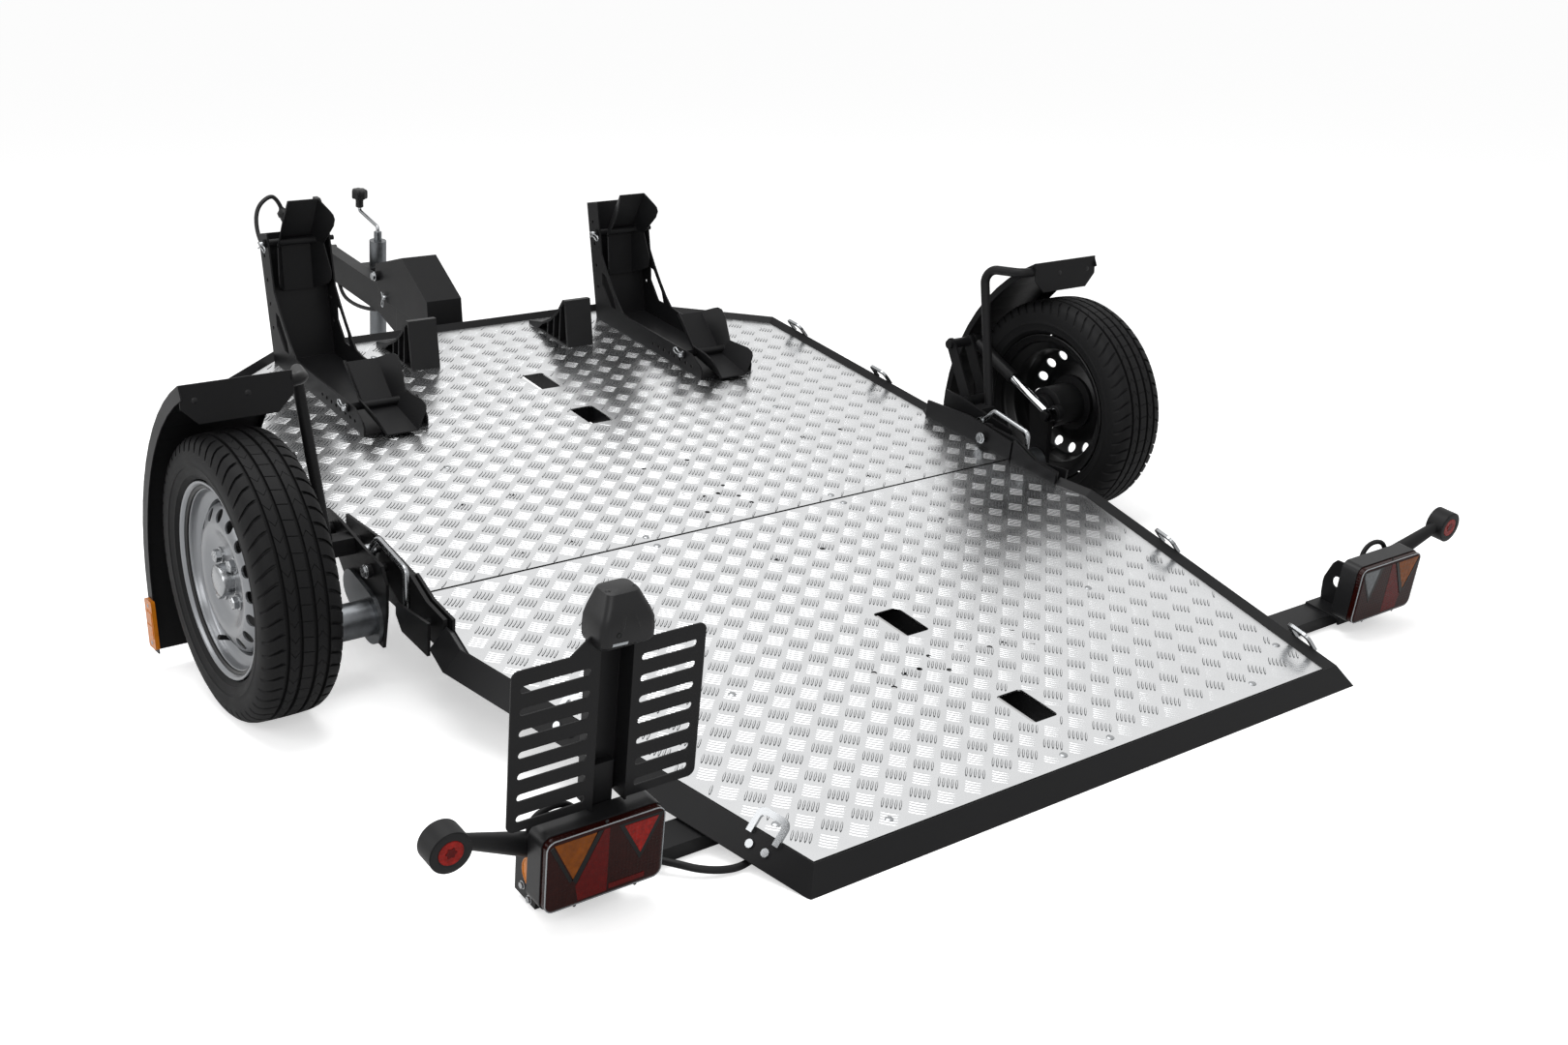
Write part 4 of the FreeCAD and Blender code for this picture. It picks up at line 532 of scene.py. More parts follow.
@dataclass
class TreadPattern:
    """Raised five-bar pattern rolled into one tread plate."""

    name: str
    body: str
    outline: tuple[Pair, ...]
    start: Pair
    slots: tuple[Pair, ...]
    bolts: tuple[Pair, ...] = ()
    pitch: float = 60.0
    bar_length: float = 31.0
    bar_width: float = 4.6
    bar_height: float = 1.3
    low_height: float = 0.35
    bar_pitch: float = 7.2
    edge: float = 3.0
    slot_width: float = 61.0
    slot_margin: float = 3.0
    bolt_margin: float = 9.0
    crown: Pair = (0.84, 0.5)
    bars_each_way: int = 2
    rows_each_way: int = 16
    ring: int = 8

    def half_width(self, x: float) -> float:
        """Half width of the plate.

        Args:
            x: Distance from the trailer's rear edge.

        Returns:
            The half width there, or nought off the plate.
        """
        for (xa, ya), (xb, yb) in zip(self.outline, self.outline[1:]):
            if xa <= x <= xb:
                return ya + (yb - ya) * (x - xa) / (xb - xa)
        return 0.0

    def on_plate(self, x: float, y: float) -> bool:
        """Whether a point lies on metal, clear of edges, slots and bolts.

        Args:
            x: Forwards from the rear edge.
            y: To the left of the middle.

        Returns:
            True where a bar may end.
        """
        if abs(y) > self.half_width(x) - self.edge:
            return False
        for low, high in self.slots:
            margin = self.slot_margin
            if low - margin < x < high + margin and abs(y) < self.slot_width / 2.0 + margin:
                return False
        return all(math.hypot(x - bx, abs(y) - by) > self.bolt_margin for bx, by in self.bolts)

    def add_bar(self, piece: Piece, x: float, y: float, way: Pair, raised: bool) -> None:
        """Add one bar.

        Args:
            piece: The piece that it joins.
            x: Middle of the bar, forwards.
            y: Middle of the bar, to the left.
            way: Its direction, forwards and to the left.
            raised: Whether it stands proud, with painted shade on its flanks.
        """
        half = self.bar_length / 2.0
        ax, ay = way
        if not (self.on_plate(x + ax * half, y + ay * half) and self.on_plate(x - ax * half, y - ay * half)):
            return
        wide = self.bar_width / 2.0
        height = self.bar_height if raised else self.low_height

        def oval(length: float, width: float, h: float) -> list[Vector]:
            """One oval round the bar's middle.

            Args:
                length: Half its length.
                width: Half its width.
                h: Its height over the plate.

            Returns:
                Its points in order.
            """
            made = []
            for k in range(self.ring):
                turn = 2.0 * math.pi * k / self.ring
                along = length * math.cos(turn)
                over = width * math.sin(turn)
                made.append(deck(x + ax * along - ay * over, y + ay * along + ax * over, h))
            return made

        count = self.ring
        # Raised bars' flanks take the dark painted shade; low bars keep the plain sheet colour.
        piece.finish = BAR_FLANK_PAINTED_SHADE if raised else ROLLED_ALUMINIUM
        points = oval(half, wide, -0.05) + oval(half * self.crown[0], wide * self.crown[1], height)
        piece.add(points, band(0, count, count))
        piece.finish = ROLLED_ALUMINIUM
        first = len(piece.points) - count
        piece.faces.append(tuple(first + k for k in range(count)))
        piece.finishes.append(ROLLED_ALUMINIUM)

    def build(self) -> None:
        """Make the whole pattern as one piece, with the plate's own bolts."""
        piece = Piece(self.name, self.body, ROLLED_ALUMINIUM)
        x0, y0 = self.start
        low, high = self.outline[0][0], self.outline[-1][0]
        slope = math.sqrt(0.5)
        for i in range(math.floor((low - x0) / self.pitch) - 1, math.ceil((high - x0) / self.pitch) + 2):
            for j in range(-self.rows_each_way, self.rows_each_way + 1):
                for raised, shift in ((True, 0.0), (False, self.pitch / 2.0)):
                    side = -slope if raised else slope
                    for k in range(-self.bars_each_way, self.bars_each_way + 1):
                        off = k * self.bar_pitch
                        self.add_bar(piece, x0 + i * self.pitch + shift - side * off,
                                     y0 + j * self.pitch + shift + slope * off, (slope, side), raised)
        piece.make(sharp_deg=14.0, tidy=False)
        heads = Piece(self.name.replace("bars", "bolts"), self.body, ZINC_PLATE)
        for x, y in self.bolts:
            for side in Side:
                heads.dome(deck(x, side.value * y, 0.0), UP, 7.5, 2.6)
        heads.make()


def build_tread() -> None:
    """Roll the pattern into both plates."""
    TreadPattern("rear_tread_bars", "rear_deck",
                 ((0.0, 611.0), (780.0, 772.0), (863.0, 756.0), (1013.0, 756.0)), (178.7, -10.4),
                 ((125.0, 223.0), (468.0, 566.0)),
                 ((28.0, 440.0), (26.0, 57.0), (450.0, 441.0), (993.0, 241.0), (104.0, 604.0))).build()
    TreadPattern("front_tread_bars", "front_deck",
                 ((1019.0, 756.0), (1312.0, 756.0), (1342.0, 772.0), (2025.0, 800.0), (2285.0, 475.0)),
                 (1560.0, -37.0), ((1596.0, 1694.0), (1833.0, 1931.0)),
                 ((1036.0, 240.0), (1510.0, 441.0), (2180.0, 300.0))).build()


@dataclass
class Tyre:
    """Moulded road tyre with round grooves, slotted shoulders and siped ribs."""

    side: Side
    centre: Pair = (1140.0, 262.0)
    track: float = 1030.0
    blocks: int = 56
    slot_depth: float = 5.0
    sipe_depth: float = 1.5
    skew: float = 0.8
    stations: tuple[float, ...] = (0.0, 0.28, 0.30, 0.33, 0.35, 0.66, 0.69, 0.86, 0.89)
    half_profile: tuple[tuple[float, float, str], ...] = (
        (0.0, 262.0, "rib"), (9.6, 261.9, "rib"), (10.4, 256.0, ""), (15.6, 256.0, ""), (16.4, 261.8, "rib"),
        (24.0, 261.7, "rib"), (32.6, 261.3, "rib"), (33.4, 255.6, ""), (38.6, 255.4, ""), (39.4, 261.0, "edge"),
        (46.0, 260.4, "slot"), (54.0, 258.4, "slot"), (61.0, 254.4, "slot"), (66.5, 248.6, "slot"),
        (69.8, 241.0, "slot"), (71.4, 234.0, "edge"), (72.2, 228.0, ""), (72.5, 217.0, ""), (71.6, 210.0, ""),
        (72.1, 208.8, ""), (71.7, 206.8, ""), (70.4, 206.0, ""), (68.4, 198.0, ""), (66.0, 192.0, ""),
        (66.2, 190.2, ""), (63.8, 188.6, ""), (60.0, 184.0, ""), (57.0, 182.0, ""))

    def depth(self, kind: str, share: float) -> float:
        """How far the mould cuts into the tread.

        Args:
            kind: What the row of the profile is.
            share: Place in the block, from nought to one.

        Returns:
            The depth in millimetres.
        """
        if kind == "slot" and 0.68 <= share <= 0.87:
            return self.slot_depth
        if kind == "rib" and 0.29 <= share <= 0.34:
            return self.sipe_depth
        return 0.0

    def build(self) -> None:
        """Make the tyre in place of the plain one."""
        rows = [(-s, r, kind) for s, r, kind in reversed(self.half_profile[1:])] + list(self.half_profile)
        points: list[Vector] = []
        columns = [(block + share, share) for block in range(self.blocks) for share in self.stations]
        for turn, share in columns:
            for s, r, kind in rows:
                over = max(0.0, abs(s) - 39.0) / 33.0
                lean = self.skew * over * over * (1.0 if kind in ("slot", "edge") else 0.0)
                if kind == "rib":
                    lean = 0.25 * math.sin(s * 0.35)
                angle = 2.0 * math.pi * (turn + lean) / self.blocks
                radius = r - self.depth(kind, share)
                points.append(Vector((self.centre[0] + radius * math.cos(angle),
                                      self.side.value * (self.track + s), self.centre[1] + radius * math.sin(angle))))
        count = len(rows)
        total = len(columns)
        faces = [(c * count + k, c * count + k + 1, ((c + 1) % total) * count + k + 1, ((c + 1) % total) * count + k)
                 for c in range(total) for k in range(count - 1)]
        piece = Piece(f"tyre_moulded_{self.side.tag}", f"wheel_{self.side.tag}", TYRE_RUBBER)
        piece.add(points, faces)
        piece.make(f"tyre_{self.side.tag}", sharp_deg=30.0)


@dataclass
class Rim:
    """Pressed steel rim: rolled flanges, a stepped barrel and a dish with a ring of round vents."""

    side: Side
    centre: Pair = (1140.0, 262.0)
    track: float = 1030.0
    vents: int = 16
    vent_circle: float = 117.5
    vent_radius: float = 11.8
    crest: Pair = (98.0, 49.0)
    fall: float = 0.0125
    sheet: float = 3.6
    ring_in: float = 103.0
    ring_out: float = 132.0
    runs: int = 4
    barrel: tuple[Pair, ...] = (
        (180.0, 57.4), (180.6, 59.4), (179.4, 61.0), (176.6, 61.0), (174.2, 59.4), (171.8, 55.0), (168.0, 50.6),
        (163.4, 48.4), (162.0, 44.0), (161.4, 37.0), (158.6, 33.4), (150.0, 30.4), (143.0, 27.4), (140.2, 22.0),
        (139.2, 12.0), (139.0, -26.0), (142.0, -31.0), (158.0, -39.0), (162.0, -44.0), (163.0, -52.0),
        (172.0, -58.0), (178.0, -61.0), (180.0, -59.6), (178.0, -56.0), (166.6, -52.0), (165.0, -40.0),
        (146.0, -30.0), (143.4, 22.0), (164.0, 37.0), (165.6, 52.0), (176.0, 56.6))
    pan: tuple[Pair, ...] = ((29.0, 34.6), (30.0, 36.0), (56.0, 36.0), (62.0, 36.5), (70.0, 38.7), (78.0, 42.2),
                             (86.0, 46.0), (92.0, 48.2), (98.0, 49.0), (103.0, 48.7))
    brim: tuple[Pair, ...] = ((132.0, 34.6), (134.8, 30.0), (137.2, 22.0), (139.0, 10.0))

    def at(self, radius: float, turn: float, along: float) -> Vector:
        """A point of the rim.

        Args:
            radius: Distance from its axis.
            turn: Turn round it, in radians.
            along: Distance outboard from the tyre's middle plane.

        Returns:
            The world point in millimetres.
        """
        return Vector((self.centre[0] + radius * math.cos(turn), self.side.value * (self.track + along),
                       self.centre[1] + radius * math.sin(turn)))

    def lathe(self, piece: Piece, rows: Sequence[Pair], shift: float = 0.0, closed: bool = False) -> None:
        """Turn open rows round the axle, on the columns that the vents use.

        Args:
            piece: The piece that it joins.
            rows: Radius and outboard distance of each row.
            shift: Distance added to every row's own.
            closed: Whether the last row joins the first.
        """
        count = self.vents * self.runs
        first = -math.pi / self.vents
        points = [self.at(r, first + 2.0 * math.pi * c / count, s + shift) for r, s in rows for c in range(count)]
        spans = [(i, (i + 1) % len(rows)) for i in range(len(rows) if closed else len(rows) - 1)]
        faces = [face for a, b in spans for face in band(a * count, b * count, count)]
        piece.add(points, faces)

    def vent_ring(self, piece: Piece, shift: float) -> list[list[Vector]]:
        """Fill the dish's ring round its vents.

        Args:
            piece: The piece that it joins.
            shift: Distance behind the dish's face.

        Returns:
            The rim points of each vent.
        """
        half = math.pi / self.vents
        step = 1.0 / self.runs
        low, high = self.ring_in, self.ring_out
        border = ([(low + (high - low) * k * step, -half) for k in range(self.runs)]
                  + [(high, half * (2.0 * k * step - 1.0)) for k in range(self.runs)]
                  + [(high - (high - low) * k * step, half) for k in range(self.runs)]
                  + [(low, half * (1.0 - 2.0 * k * step)) for k in range(self.runs)])
        count = len(border)
        rims = []
        for vent in range(self.vents):
            middle = 2.0 * half * vent
            outer = [self.at(r, middle + t, self.height(r) + shift) for r, t in border]
            inner = []
            for k in range(count):
                angle = math.radians(225.0) + 2.0 * math.pi * k / count
                out = self.vent_circle + self.vent_radius * math.cos(angle)
                over = self.vent_radius * math.sin(angle)
                radius = math.hypot(out, over)
                inner.append(self.at(radius, middle + math.atan2(over, out), self.height(radius) + shift))
            piece.add(outer + inner, band(0, count, count))
            rims.append(inner)
        return rims

    def height(self, radius: float) -> float:
        """Outboard distance of the dish's face at a radius."""
        return self.crest[1] - self.fall * (radius - self.crest[0]) ** 2

    def build(self) -> None:
        """Make the rim in place of the plain one, silver outside and black inboard, the black being painted shade."""
        piece = Piece(f"wheel_rim_pressed_{self.side.tag}", f"wheel_{self.side.tag}", WHEEL_SILVER)
        self.lathe(piece, self.barrel[:15])
        self.lathe(piece, self.pan)
        self.lathe(piece, self.brim)
        front = self.vent_ring(piece, 0.0)
        # Inboard faces take the near-black painted shade.
        piece.finish = WHEEL_INBOARD_PAINTED_SHADE
        self.lathe(piece, self.barrel[14:] + self.barrel[:1])
        self.lathe(piece, self.pan, -self.sheet)
        self.lathe(piece, self.brim, -self.sheet)
        back = self.vent_ring(piece, -self.sheet)
        self.lathe(piece, ((self.pan[0][0], self.pan[0][1]), (self.pan[0][0], self.pan[0][1] - self.sheet)))
        self.lathe(piece, ((self.brim[-1][0], self.brim[-1][1]), (self.brim[-1][0], self.brim[-1][1] - self.sheet)))
        piece.finish = WHEEL_SILVER
        count = len(front[0])
        for near, far in zip(front, back):
            piece.add(near + far, band(0, count, count))
        piece.make(f"wheel_rim_{self.side.tag}", sharp_deg=38.0, weld=True)


@dataclass
class WheelTrim:
    """Wheel bolts, centre cap and valve of one wheel."""

    side: Side
    centre: Pair = (1140.0, 262.0)
    bolts: int = 4
    bolt_circle: float = 49.0
    bolt_seat: float = 1066.2
    cap_seat: float = 1063.0
    cap_radius: float = 29.4
    valve_turn_deg: float = -70.0

    def at(self, radius: float, turn_deg: float, y: float) -> Vector:
        """A point of the wheel.

        Args:
            radius: Distance from its axis.
            turn_deg: Turn round it from straight ahead.
            y: Distance from the trailer's middle plane.

        Returns:
            The world point in millimetres.
        """
        turn = math.radians(turn_deg)
        return Vector((self.centre[0] + radius * math.cos(turn), self.side.value * y,
                       self.centre[1] + radius * math.sin(turn)))

    def build(self) -> None:
        """Make the bolts and cap in one piece and the valve in another."""
        out = LEFT * self.side.value
        trim = Piece(f"wheel_bolts_{self.side.tag}", f"wheel_{self.side.tag}", ZINC_PLATE)
        for k in range(self.bolts):
            turn = 360.0 * (k + 0.5) / self.bolts
            seat = self.at(self.bolt_circle, turn, self.bolt_seat)
            trim.turned(seat, out, [(15.0, -3.0), (14.4, 0.4), (12.4, 2.2)], 20)
            trim.bolt(seat + out * 0.6, out, 12.2, 10.8, 12.0 * k)
            trim.turned(seat + out * 13.0, out, [(5.2, 0.0), (5.0, 0.8), (4.0, 1.2)], 12)
        trim.turned(self.at(0.0, 0.0, self.cap_seat), out,
                    [(31.0, 0.0), (31.0, 2.6), (self.cap_radius, 3.4), (self.cap_radius, 22.0), (28.2, 25.0),
                     (24.6, 27.2), (16.0, 28.6), (6.0, 29.2), (1.0, 29.3)], 36)
        trim.make()
        valve = Piece(f"valve_stem_{self.side.tag}", f"wheel_{self.side.tag}", EPDM)
        foot = self.at(141.0, self.valve_turn_deg, 1050.0)
        tip = self.at(130.0, self.valve_turn_deg, 1083.0)
        way = (tip - foot).normalized()
        length = (tip - foot).length
        valve.turned(foot, way, [(7.6, 0.0), (7.4, 4.0), (5.6, 7.0), (4.6, 16.0), (4.4, length - 10.0),
                                 (4.9, length - 9.4), (4.9, length - 1.4), (4.0, length)], 16)
        valve.make()


Section = tuple[Finish, float, tuple[Pair, ...]]


@dataclass
class RearLamp:
    """Lens optics of one rear lamp: turn wedge, dividers, reflex triangle and lit strip."""

    side: Side
    outer: float = 1017.0
    width: float = 194.0
    top: float = 116.0
    height: float = 120.0
    face: float = 90.0
    edge_radius: float = 1.1
    edge_proud: float = 2.4
    corner_radius: float = 15.0
    edge_inset: float = 0.4
    screws: tuple[Pair, ...] = ((0.5, -0.035), (0.26, 1.02), (0.78, 1.02))

    def sections(self) -> tuple[Section, ...]:
        """The lens's optics, by share of its width inwards and of its height downwards.

        Returns:
            Finish, height over the lens and corners of each section.
        """
        shared = (
            (RED_BRIGHT, 0.5, ((0.47, 0.04), (0.515, 0.04), (0.515, 0.94), (0.27, 0.94), (0.245, 0.72))),
            (AMBER_LENS, 0.9, ((0.055, 0.045), (0.405, 0.045), (0.225, 0.61))),
            (LENS_DIVIDER, 1.2, ((0.415, 0.035), (0.455, 0.035), (0.25, 0.68), (0.215, 0.62))),
            (LENS_DIVIDER, 1.0, ((0.02, 0.08), (0.045, 0.05), (0.215, 0.62), (0.195, 0.64))))
        if self.side is Side.RIGHT:
            return shared + (
                (LENS_DIVIDER, 0.7, ((0.66, 0.035), (0.985, 0.035), (0.985, 0.12), (0.80, 0.66))),
                (CLEAR_STUDS, 1.2, ((0.72, 0.05), (0.965, 0.05), (0.965, 0.14), (0.815, 0.55))))
        return shared + (
            (LENS_DIVIDER, 0.7, ((0.59, 0.05), (0.985, 0.05), (0.79, 0.64))),
            (RED_REFLEX, 1.2, ((0.64, 0.085), (0.935, 0.085), (0.79, 0.54))),
            (RED_BRIGHT, 0.8, ((0.53, 0.85), (0.84, 0.85), (0.84, 0.92), (0.53, 0.92))))

    def build(self) -> None:
        """Lay the sections on the lens and run the polished edge round it."""
        piece = Piece(f"rear_lamp_optics_{self.side.tag}", "rear_deck", RED_BRIGHT)
        sign = self.side.value
        corner = deck(self.face + 0.2, sign * self.outer, self.top)
        right = LEFT * -sign
        for finish, proud, outline in self.sections():
            piece.finish = finish
            flat = [(u * self.width, -v * self.height) for u, v in outline]
            if sign < 0:
                piece.prism([(-x, y) for x, y in flat], corner, LEFT * -1.0, UP, proud, 0.3)
            else:
                piece.prism(flat, corner, right, UP, proud, 0.3)
        piece.finish = CLEAR_EDGE
        piece.tube(self.edge_path(), self.edge_radius, 8)
        piece.finish = POLYPROPYLENE
        for u, v in self.screws:
            screw = corner + right * (u * self.width) - UP * (v * self.height) + AHEAD * 4.0
            piece.dome(screw, AHEAD * -1.0, 3.0, 1.2)
        piece.make()

    def edge_path(self) -> list[Vector]:
        """Run round the lens's edge.

        Returns:
            Centre points of the polished edge, closed at the top.
        """
        round_r = self.corner_radius
        run = round_r - self.edge_inset
        sign = self.side.value
        corners = ((round_r, -round_r, 90.0), (round_r, round_r - self.height, 180.0),
                   (self.width - round_r, round_r - self.height, 270.0), (self.width - round_r, -round_r, 0.0))
        path = []
        for x, y, start in corners:
            for k in range(7):
                turn = math.radians(start + 15.0 * k)
                path.append(deck(self.face + self.edge_proud, sign * (self.outer - x - run * math.cos(turn)),
                                 self.top + y + run * math.sin(turn)))
        return path + [path[0]]


@dataclass
class LampCheeks:
    """Pierced cheek plates that stand on the lamp arms, behind the lamps."""

    outline: tuple[Pair, ...] = ((158.0, -23.6), (222.0, -23.6), (226.0, 22.0), (209.0, 71.0), (166.0, 74.0),
                                 (158.0, 40.0))
    hole: Pair = (192.0, 26.0)
    hole_radius: float = 12.0
    outer_face: float = 907.0
    sheet: float = 3.8
    steps: int = 24

    def reach(self, turn: float) -> float:
        """Distance from the hole's middle to the plate's edge.

        Args:
            turn: Direction, in radians.

        Returns:
            The distance that way, in millimetres.
        """
        dx, dy = math.cos(turn), math.sin(turn)
        best = math.inf
        for (ax, ay), (bx, by) in zip(self.outline, self.outline[1:] + self.outline[:1]):
            ex, ey = bx - ax, by - ay
            cross = dx * ey - dy * ex
            if abs(cross) < 1e-9:
                continue
            away = ((ax - self.hole[0]) * ey - (ay - self.hole[1]) * ex) / cross
            along = ((ax - self.hole[0]) * dy - (ay - self.hole[1]) * dx) / cross
            if away > 0.0 and -1e-6 <= along <= 1.0 + 1e-6:
                best = min(best, away)
        return best

    def rings(self, side: Side, y: float) -> list[Vector]:
        """Points of one face of a plate.

        Args:
            side: The trailer's side.
            y: The face's distance from the middle.

        Returns:
            The plate's edge and then the hole's edge.
        """
        turns = [2.0 * math.pi * k / self.steps for k in range(self.steps)]
        reaches = [self.reach(turn) for turn in turns] + [self.hole_radius] * self.steps
        return [deck(self.hole[0] + far * math.cos(turn), side.value * y, self.hole[1] + far * math.sin(turn))
                for far, turn in zip(reaches, turns * 2)]

    def build(self) -> None:
        """Make both plates as one piece."""
        piece = Piece("lamp_cheek_plates", "rear_deck", POWDER_COAT)
        count = self.steps
        spans = ((0, count), (2 * count, 3 * count), (0, 2 * count), (count, 3 * count))
        for side in Side:
            points = self.rings(side, self.outer_face) + self.rings(side, self.outer_face - self.sheet)
            piece.add(points, [face for a, b in spans for face in band(a, b, count)])
        piece.make()


@dataclass
class MarkerEyes:
    """Red rear eye, clear front eye and rims of one outline marker lamp."""

    side: Side
    centre: Point = (137.0, 1148.0, 132.0)
    half: float = 18.0
    rim: tuple[Pair, ...] = ((31.0, -1.0), (30.4, 0.8), (28.0, 1.6), (21.0, 1.5), (19.0, 0.2))
    lens: tuple[Pair, ...] = ((19.0, 0.0), (18.6, 0.9), (15.0, 1.1), (10.0, 0.6), (0.6, 0.6))
    star: tuple[Pair, ...] = ((9.0, 0.5), (8.6, 1.4), (3.0, 1.0), (0.6, 1.2))

    def build(self) -> None:
        """Make both eyes with their rims."""
        x, y, h = self.centre
        piece = Piece(f"marker_eyes_{self.side.tag}", "rear_deck", RED_REFLEX)
        for finish, way in ((RED_REFLEX, -1.0), (CLEAR_EDGE, 1.0)):
            out = AHEAD * way
            base = deck(x + way * self.half, self.side.value * y, h)
            piece.finish = EPDM
            piece.turned(base, out, self.rim, 36)
            piece.finish = finish
            piece.turned(base, out, self.lens, 36)
            piece.finish = RED_BRIGHT if way < 0.0 else CLEAR_EDGE
            piece.turned(base, out, self.star, 36, lobes=6, lobe_depth=0.3)
        piece.make()


@dataclass
class Fixings:
    """Screws of the reflectors and the guards' lips, and bolts of the lamp arms."""

    round_reflector: Point = (168.0, 995.0, 8.0)
    tab_bolts: tuple[Pair, ...] = ((202.0, -34.0), (181.0, -46.0))
    tab_face: float = 988.2
    reflector_x: float = 1435.0
    reflector_face: float = 1127.8
    reflector_screws: Pair = (60.0, 136.0)
    lip: Pair = (1144.4, 590.0)
    lip_screws: Pair = (1000.0, 1094.0)
    lamp_face: float = 144.2
    lamp_bolts: Pair = (-18.0, 82.0)
    lamp_bolt_ends: tuple[Pair, ...] = ((874.0, 10.0), (974.0, 30.0))
    screw: tuple[Pair, ...] = ((5.4, -0.3), (5.2, 1.0), (4.4, 2.0), (2.0, 2.2), (1.6, 1.2), (0.4, 1.2))
    bezel: tuple[Pair, ...] = ((25.9, -0.4), (25.6, 0.9), (24.0, 0.9), (23.6, -0.2))

    def build(self) -> None:
        """Make the rear deck's fixings and the guards' screws."""
        rear = Piece("reflector_screws_rear", "rear_deck", ZINC_PLATE)
        front = Piece("guard_screws", "front_deck", ZINC_PLATE)
        x0, y0, h0 = self.round_reflector
        for side in Side:
            out = LEFT * side.value
            middle = deck(x0, side.value * y0, h0)
            rear.turned(middle, out, self.screw, 16)
            rear.finish = AMBER_ACRYLIC
            rear.turned(middle, out, self.bezel, 36)
            rear.finish = ZINC_PLATE
            for x, h in self.tab_bolts:
                rear.bolt(deck(x, side.value * self.tab_face, h), out, 5.6, 3.4, 20.0)
            for z in self.reflector_screws:
                front.dome(Vector((self.reflector_x, side.value * self.reflector_face, z)), out, 4.0, 1.4)
            front.finish = POLYPROPYLENE
            for y in self.lip_screws:
                front.dome(Vector((self.lip[0], side.value * y, self.lip[1])), Vector((-1.0, 0.0, 0.0)), 7.5, 3.6)
            front.finish = ZINC_PLATE
            for h in self.lamp_bolts:
                for y, spin in self.lamp_bolt_ends:
                    rear.bolt(deck(self.lamp_face, side.value * y, h), AHEAD, 6.0, 4.0, spin)
        rear.make()
        front.make()


@dataclass
class ReflectorFields:
    """Raised prism fields of the two side reflectors."""

    middle: float = 1435.0
    face: float = 1127.9
    feet: Pair = (72.0, 99.0)
    width: float = 30.0
    height: float = 25.0
    proud: float = 1.2
    chamfer: float = 0.6

    def build(self) -> None:
        """Make all the fields as one piece."""
        piece = Piece("side_reflector_fields", "front_deck", AMBER_ACRYLIC)
        for side in Side:
            out = LEFT * side.value
            right = Vector((side.value, 0.0, 0.0))
            top = out.cross(right)
            rise = self.height if top.z >= 0.0 else -self.height
            flat = [(0.0, 0.0), (self.width, 0.0), (self.width, rise), (0.0, rise)]
            for z in self.feet:
                base = Vector((self.middle - side.value * self.width / 2.0, side.value * self.face, z))
                piece.prism(flat, base, right, top, self.proud, self.chamfer)
        piece.make()


@dataclass
class FoldHardware:
    """Hexagon bolts of one side's folding joint and swing arm."""

    side: Side
    pivot: Pair = (1106.0, 21.0)
    pivot_ends: tuple[Pair, ...] = ((815.2, 1.0), (746.8, -1.0))
    bracket_bolts: tuple[Pair, ...] = ((1212.0, 20.0), (1255.0, 14.0))
    bracket_face: float = 806.0
    arm_face: float = 966.2
    axle_nut: Pair = (1140.0, 130.0)
    damper_nut: Pair = (1092.0, 259.0)

    def build(self) -> None:
        """Seat the hexagons on the joint's round heads."""
        sign = self.side.value
        out = LEFT * sign
        piece = Piece(f"fold_bolts_{self.side.tag}", "front_deck", ZINC_PLATE)
        for y, way in self.pivot_ends:
            piece.bolt(deck(self.pivot[0], sign * y, self.pivot[1]), out * way, 11.0, 5.5, 10.0)
        for x, h in self.bracket_bolts:
            piece.bolt(deck(x, sign * self.bracket_face, h), out, 9.0, 5.0, 25.0)
        piece.make()
        arm = Piece(f"arm_nuts_{self.side.tag}", f"arm_{self.side.tag}", ZINC_PLATE)
        for (x, z), radius, height, spin in ((self.axle_nut, 16.0, 9.0, 5.0), (self.damper_nut, 10.0, 6.0, 15.0)):
            arm.bolt(Vector((x, sign * self.arm_face, z)), out, radius, height, spin)
        arm.make()


@dataclass
class WireClip:
    """Bent spring clip through the end of a pin."""

    name: str
    body: str
    x: float
    y: float
    h: float
    axis: Vector
    tip: Vector
    wire: float = 1.9
    pin_radius: float = 5.5
    reach: float = 9.0

    def build(self) -> None:
        """Make the pin's end and the clip that locks it."""
        side_way = self.axis.cross(self.tip).normalized()
        base = deck(self.x, self.y, self.h)
        hole = base + self.axis * (self.reach * 0.62)
        piece = Piece(self.name, self.body, ZINC_PLATE)
        piece.turned(base - self.axis * 0.5, self.axis,
                     [(self.pin_radius, 0.0), (self.pin_radius, self.reach - 1.2),
                      (self.pin_radius - 1.4, self.reach)], 16)
        shape = ((0.0, 13.0), (0.0, 4.0), (0.0, -8.0), (0.2, -18.0), (2.2, -25.0), (7.0, -28.5), (12.0, -26.0),
                 (13.2, -20.0), (10.6, -14.0), (8.2, -9.0), (7.2, -3.0), (8.4, 3.0), (10.8, 8.0), (13.6, 12.0))
        path = [hole + side_way * a + self.tip * b for a, b in shape]
        piece.tube(smoothed(path, 3), self.wire, 8)
        piece.make(sharp_deg=50.0)


def smoothed(path: Sequence[Vector], parts: int) -> list[Vector]:
    """Round a bent wire's path with a cubic curve through every point.

    Args:
        path: Points that the wire passes.
        parts: How many runs each stretch is divided into.

    Returns:
        The finer path.
    """
    made: list[Vector] = []
    for i in range(len(path) - 1):
        p0, p1 = path[max(0, i - 1)], path[i]
        p2, p3 = path[i + 1], path[min(len(path) - 1, i + 2)]
        for k in range(parts):
            t = k / parts
            made.append(0.5 * ((2.0 * p1) + (p2 - p0) * t + (2.0 * p0 - 5.0 * p1 + 4.0 * p2 - p3) * t * t
                               + (3.0 * p1 - p0 - 3.0 * p2 + p3) * t ** 3))
    made.append(path[-1])
    return made


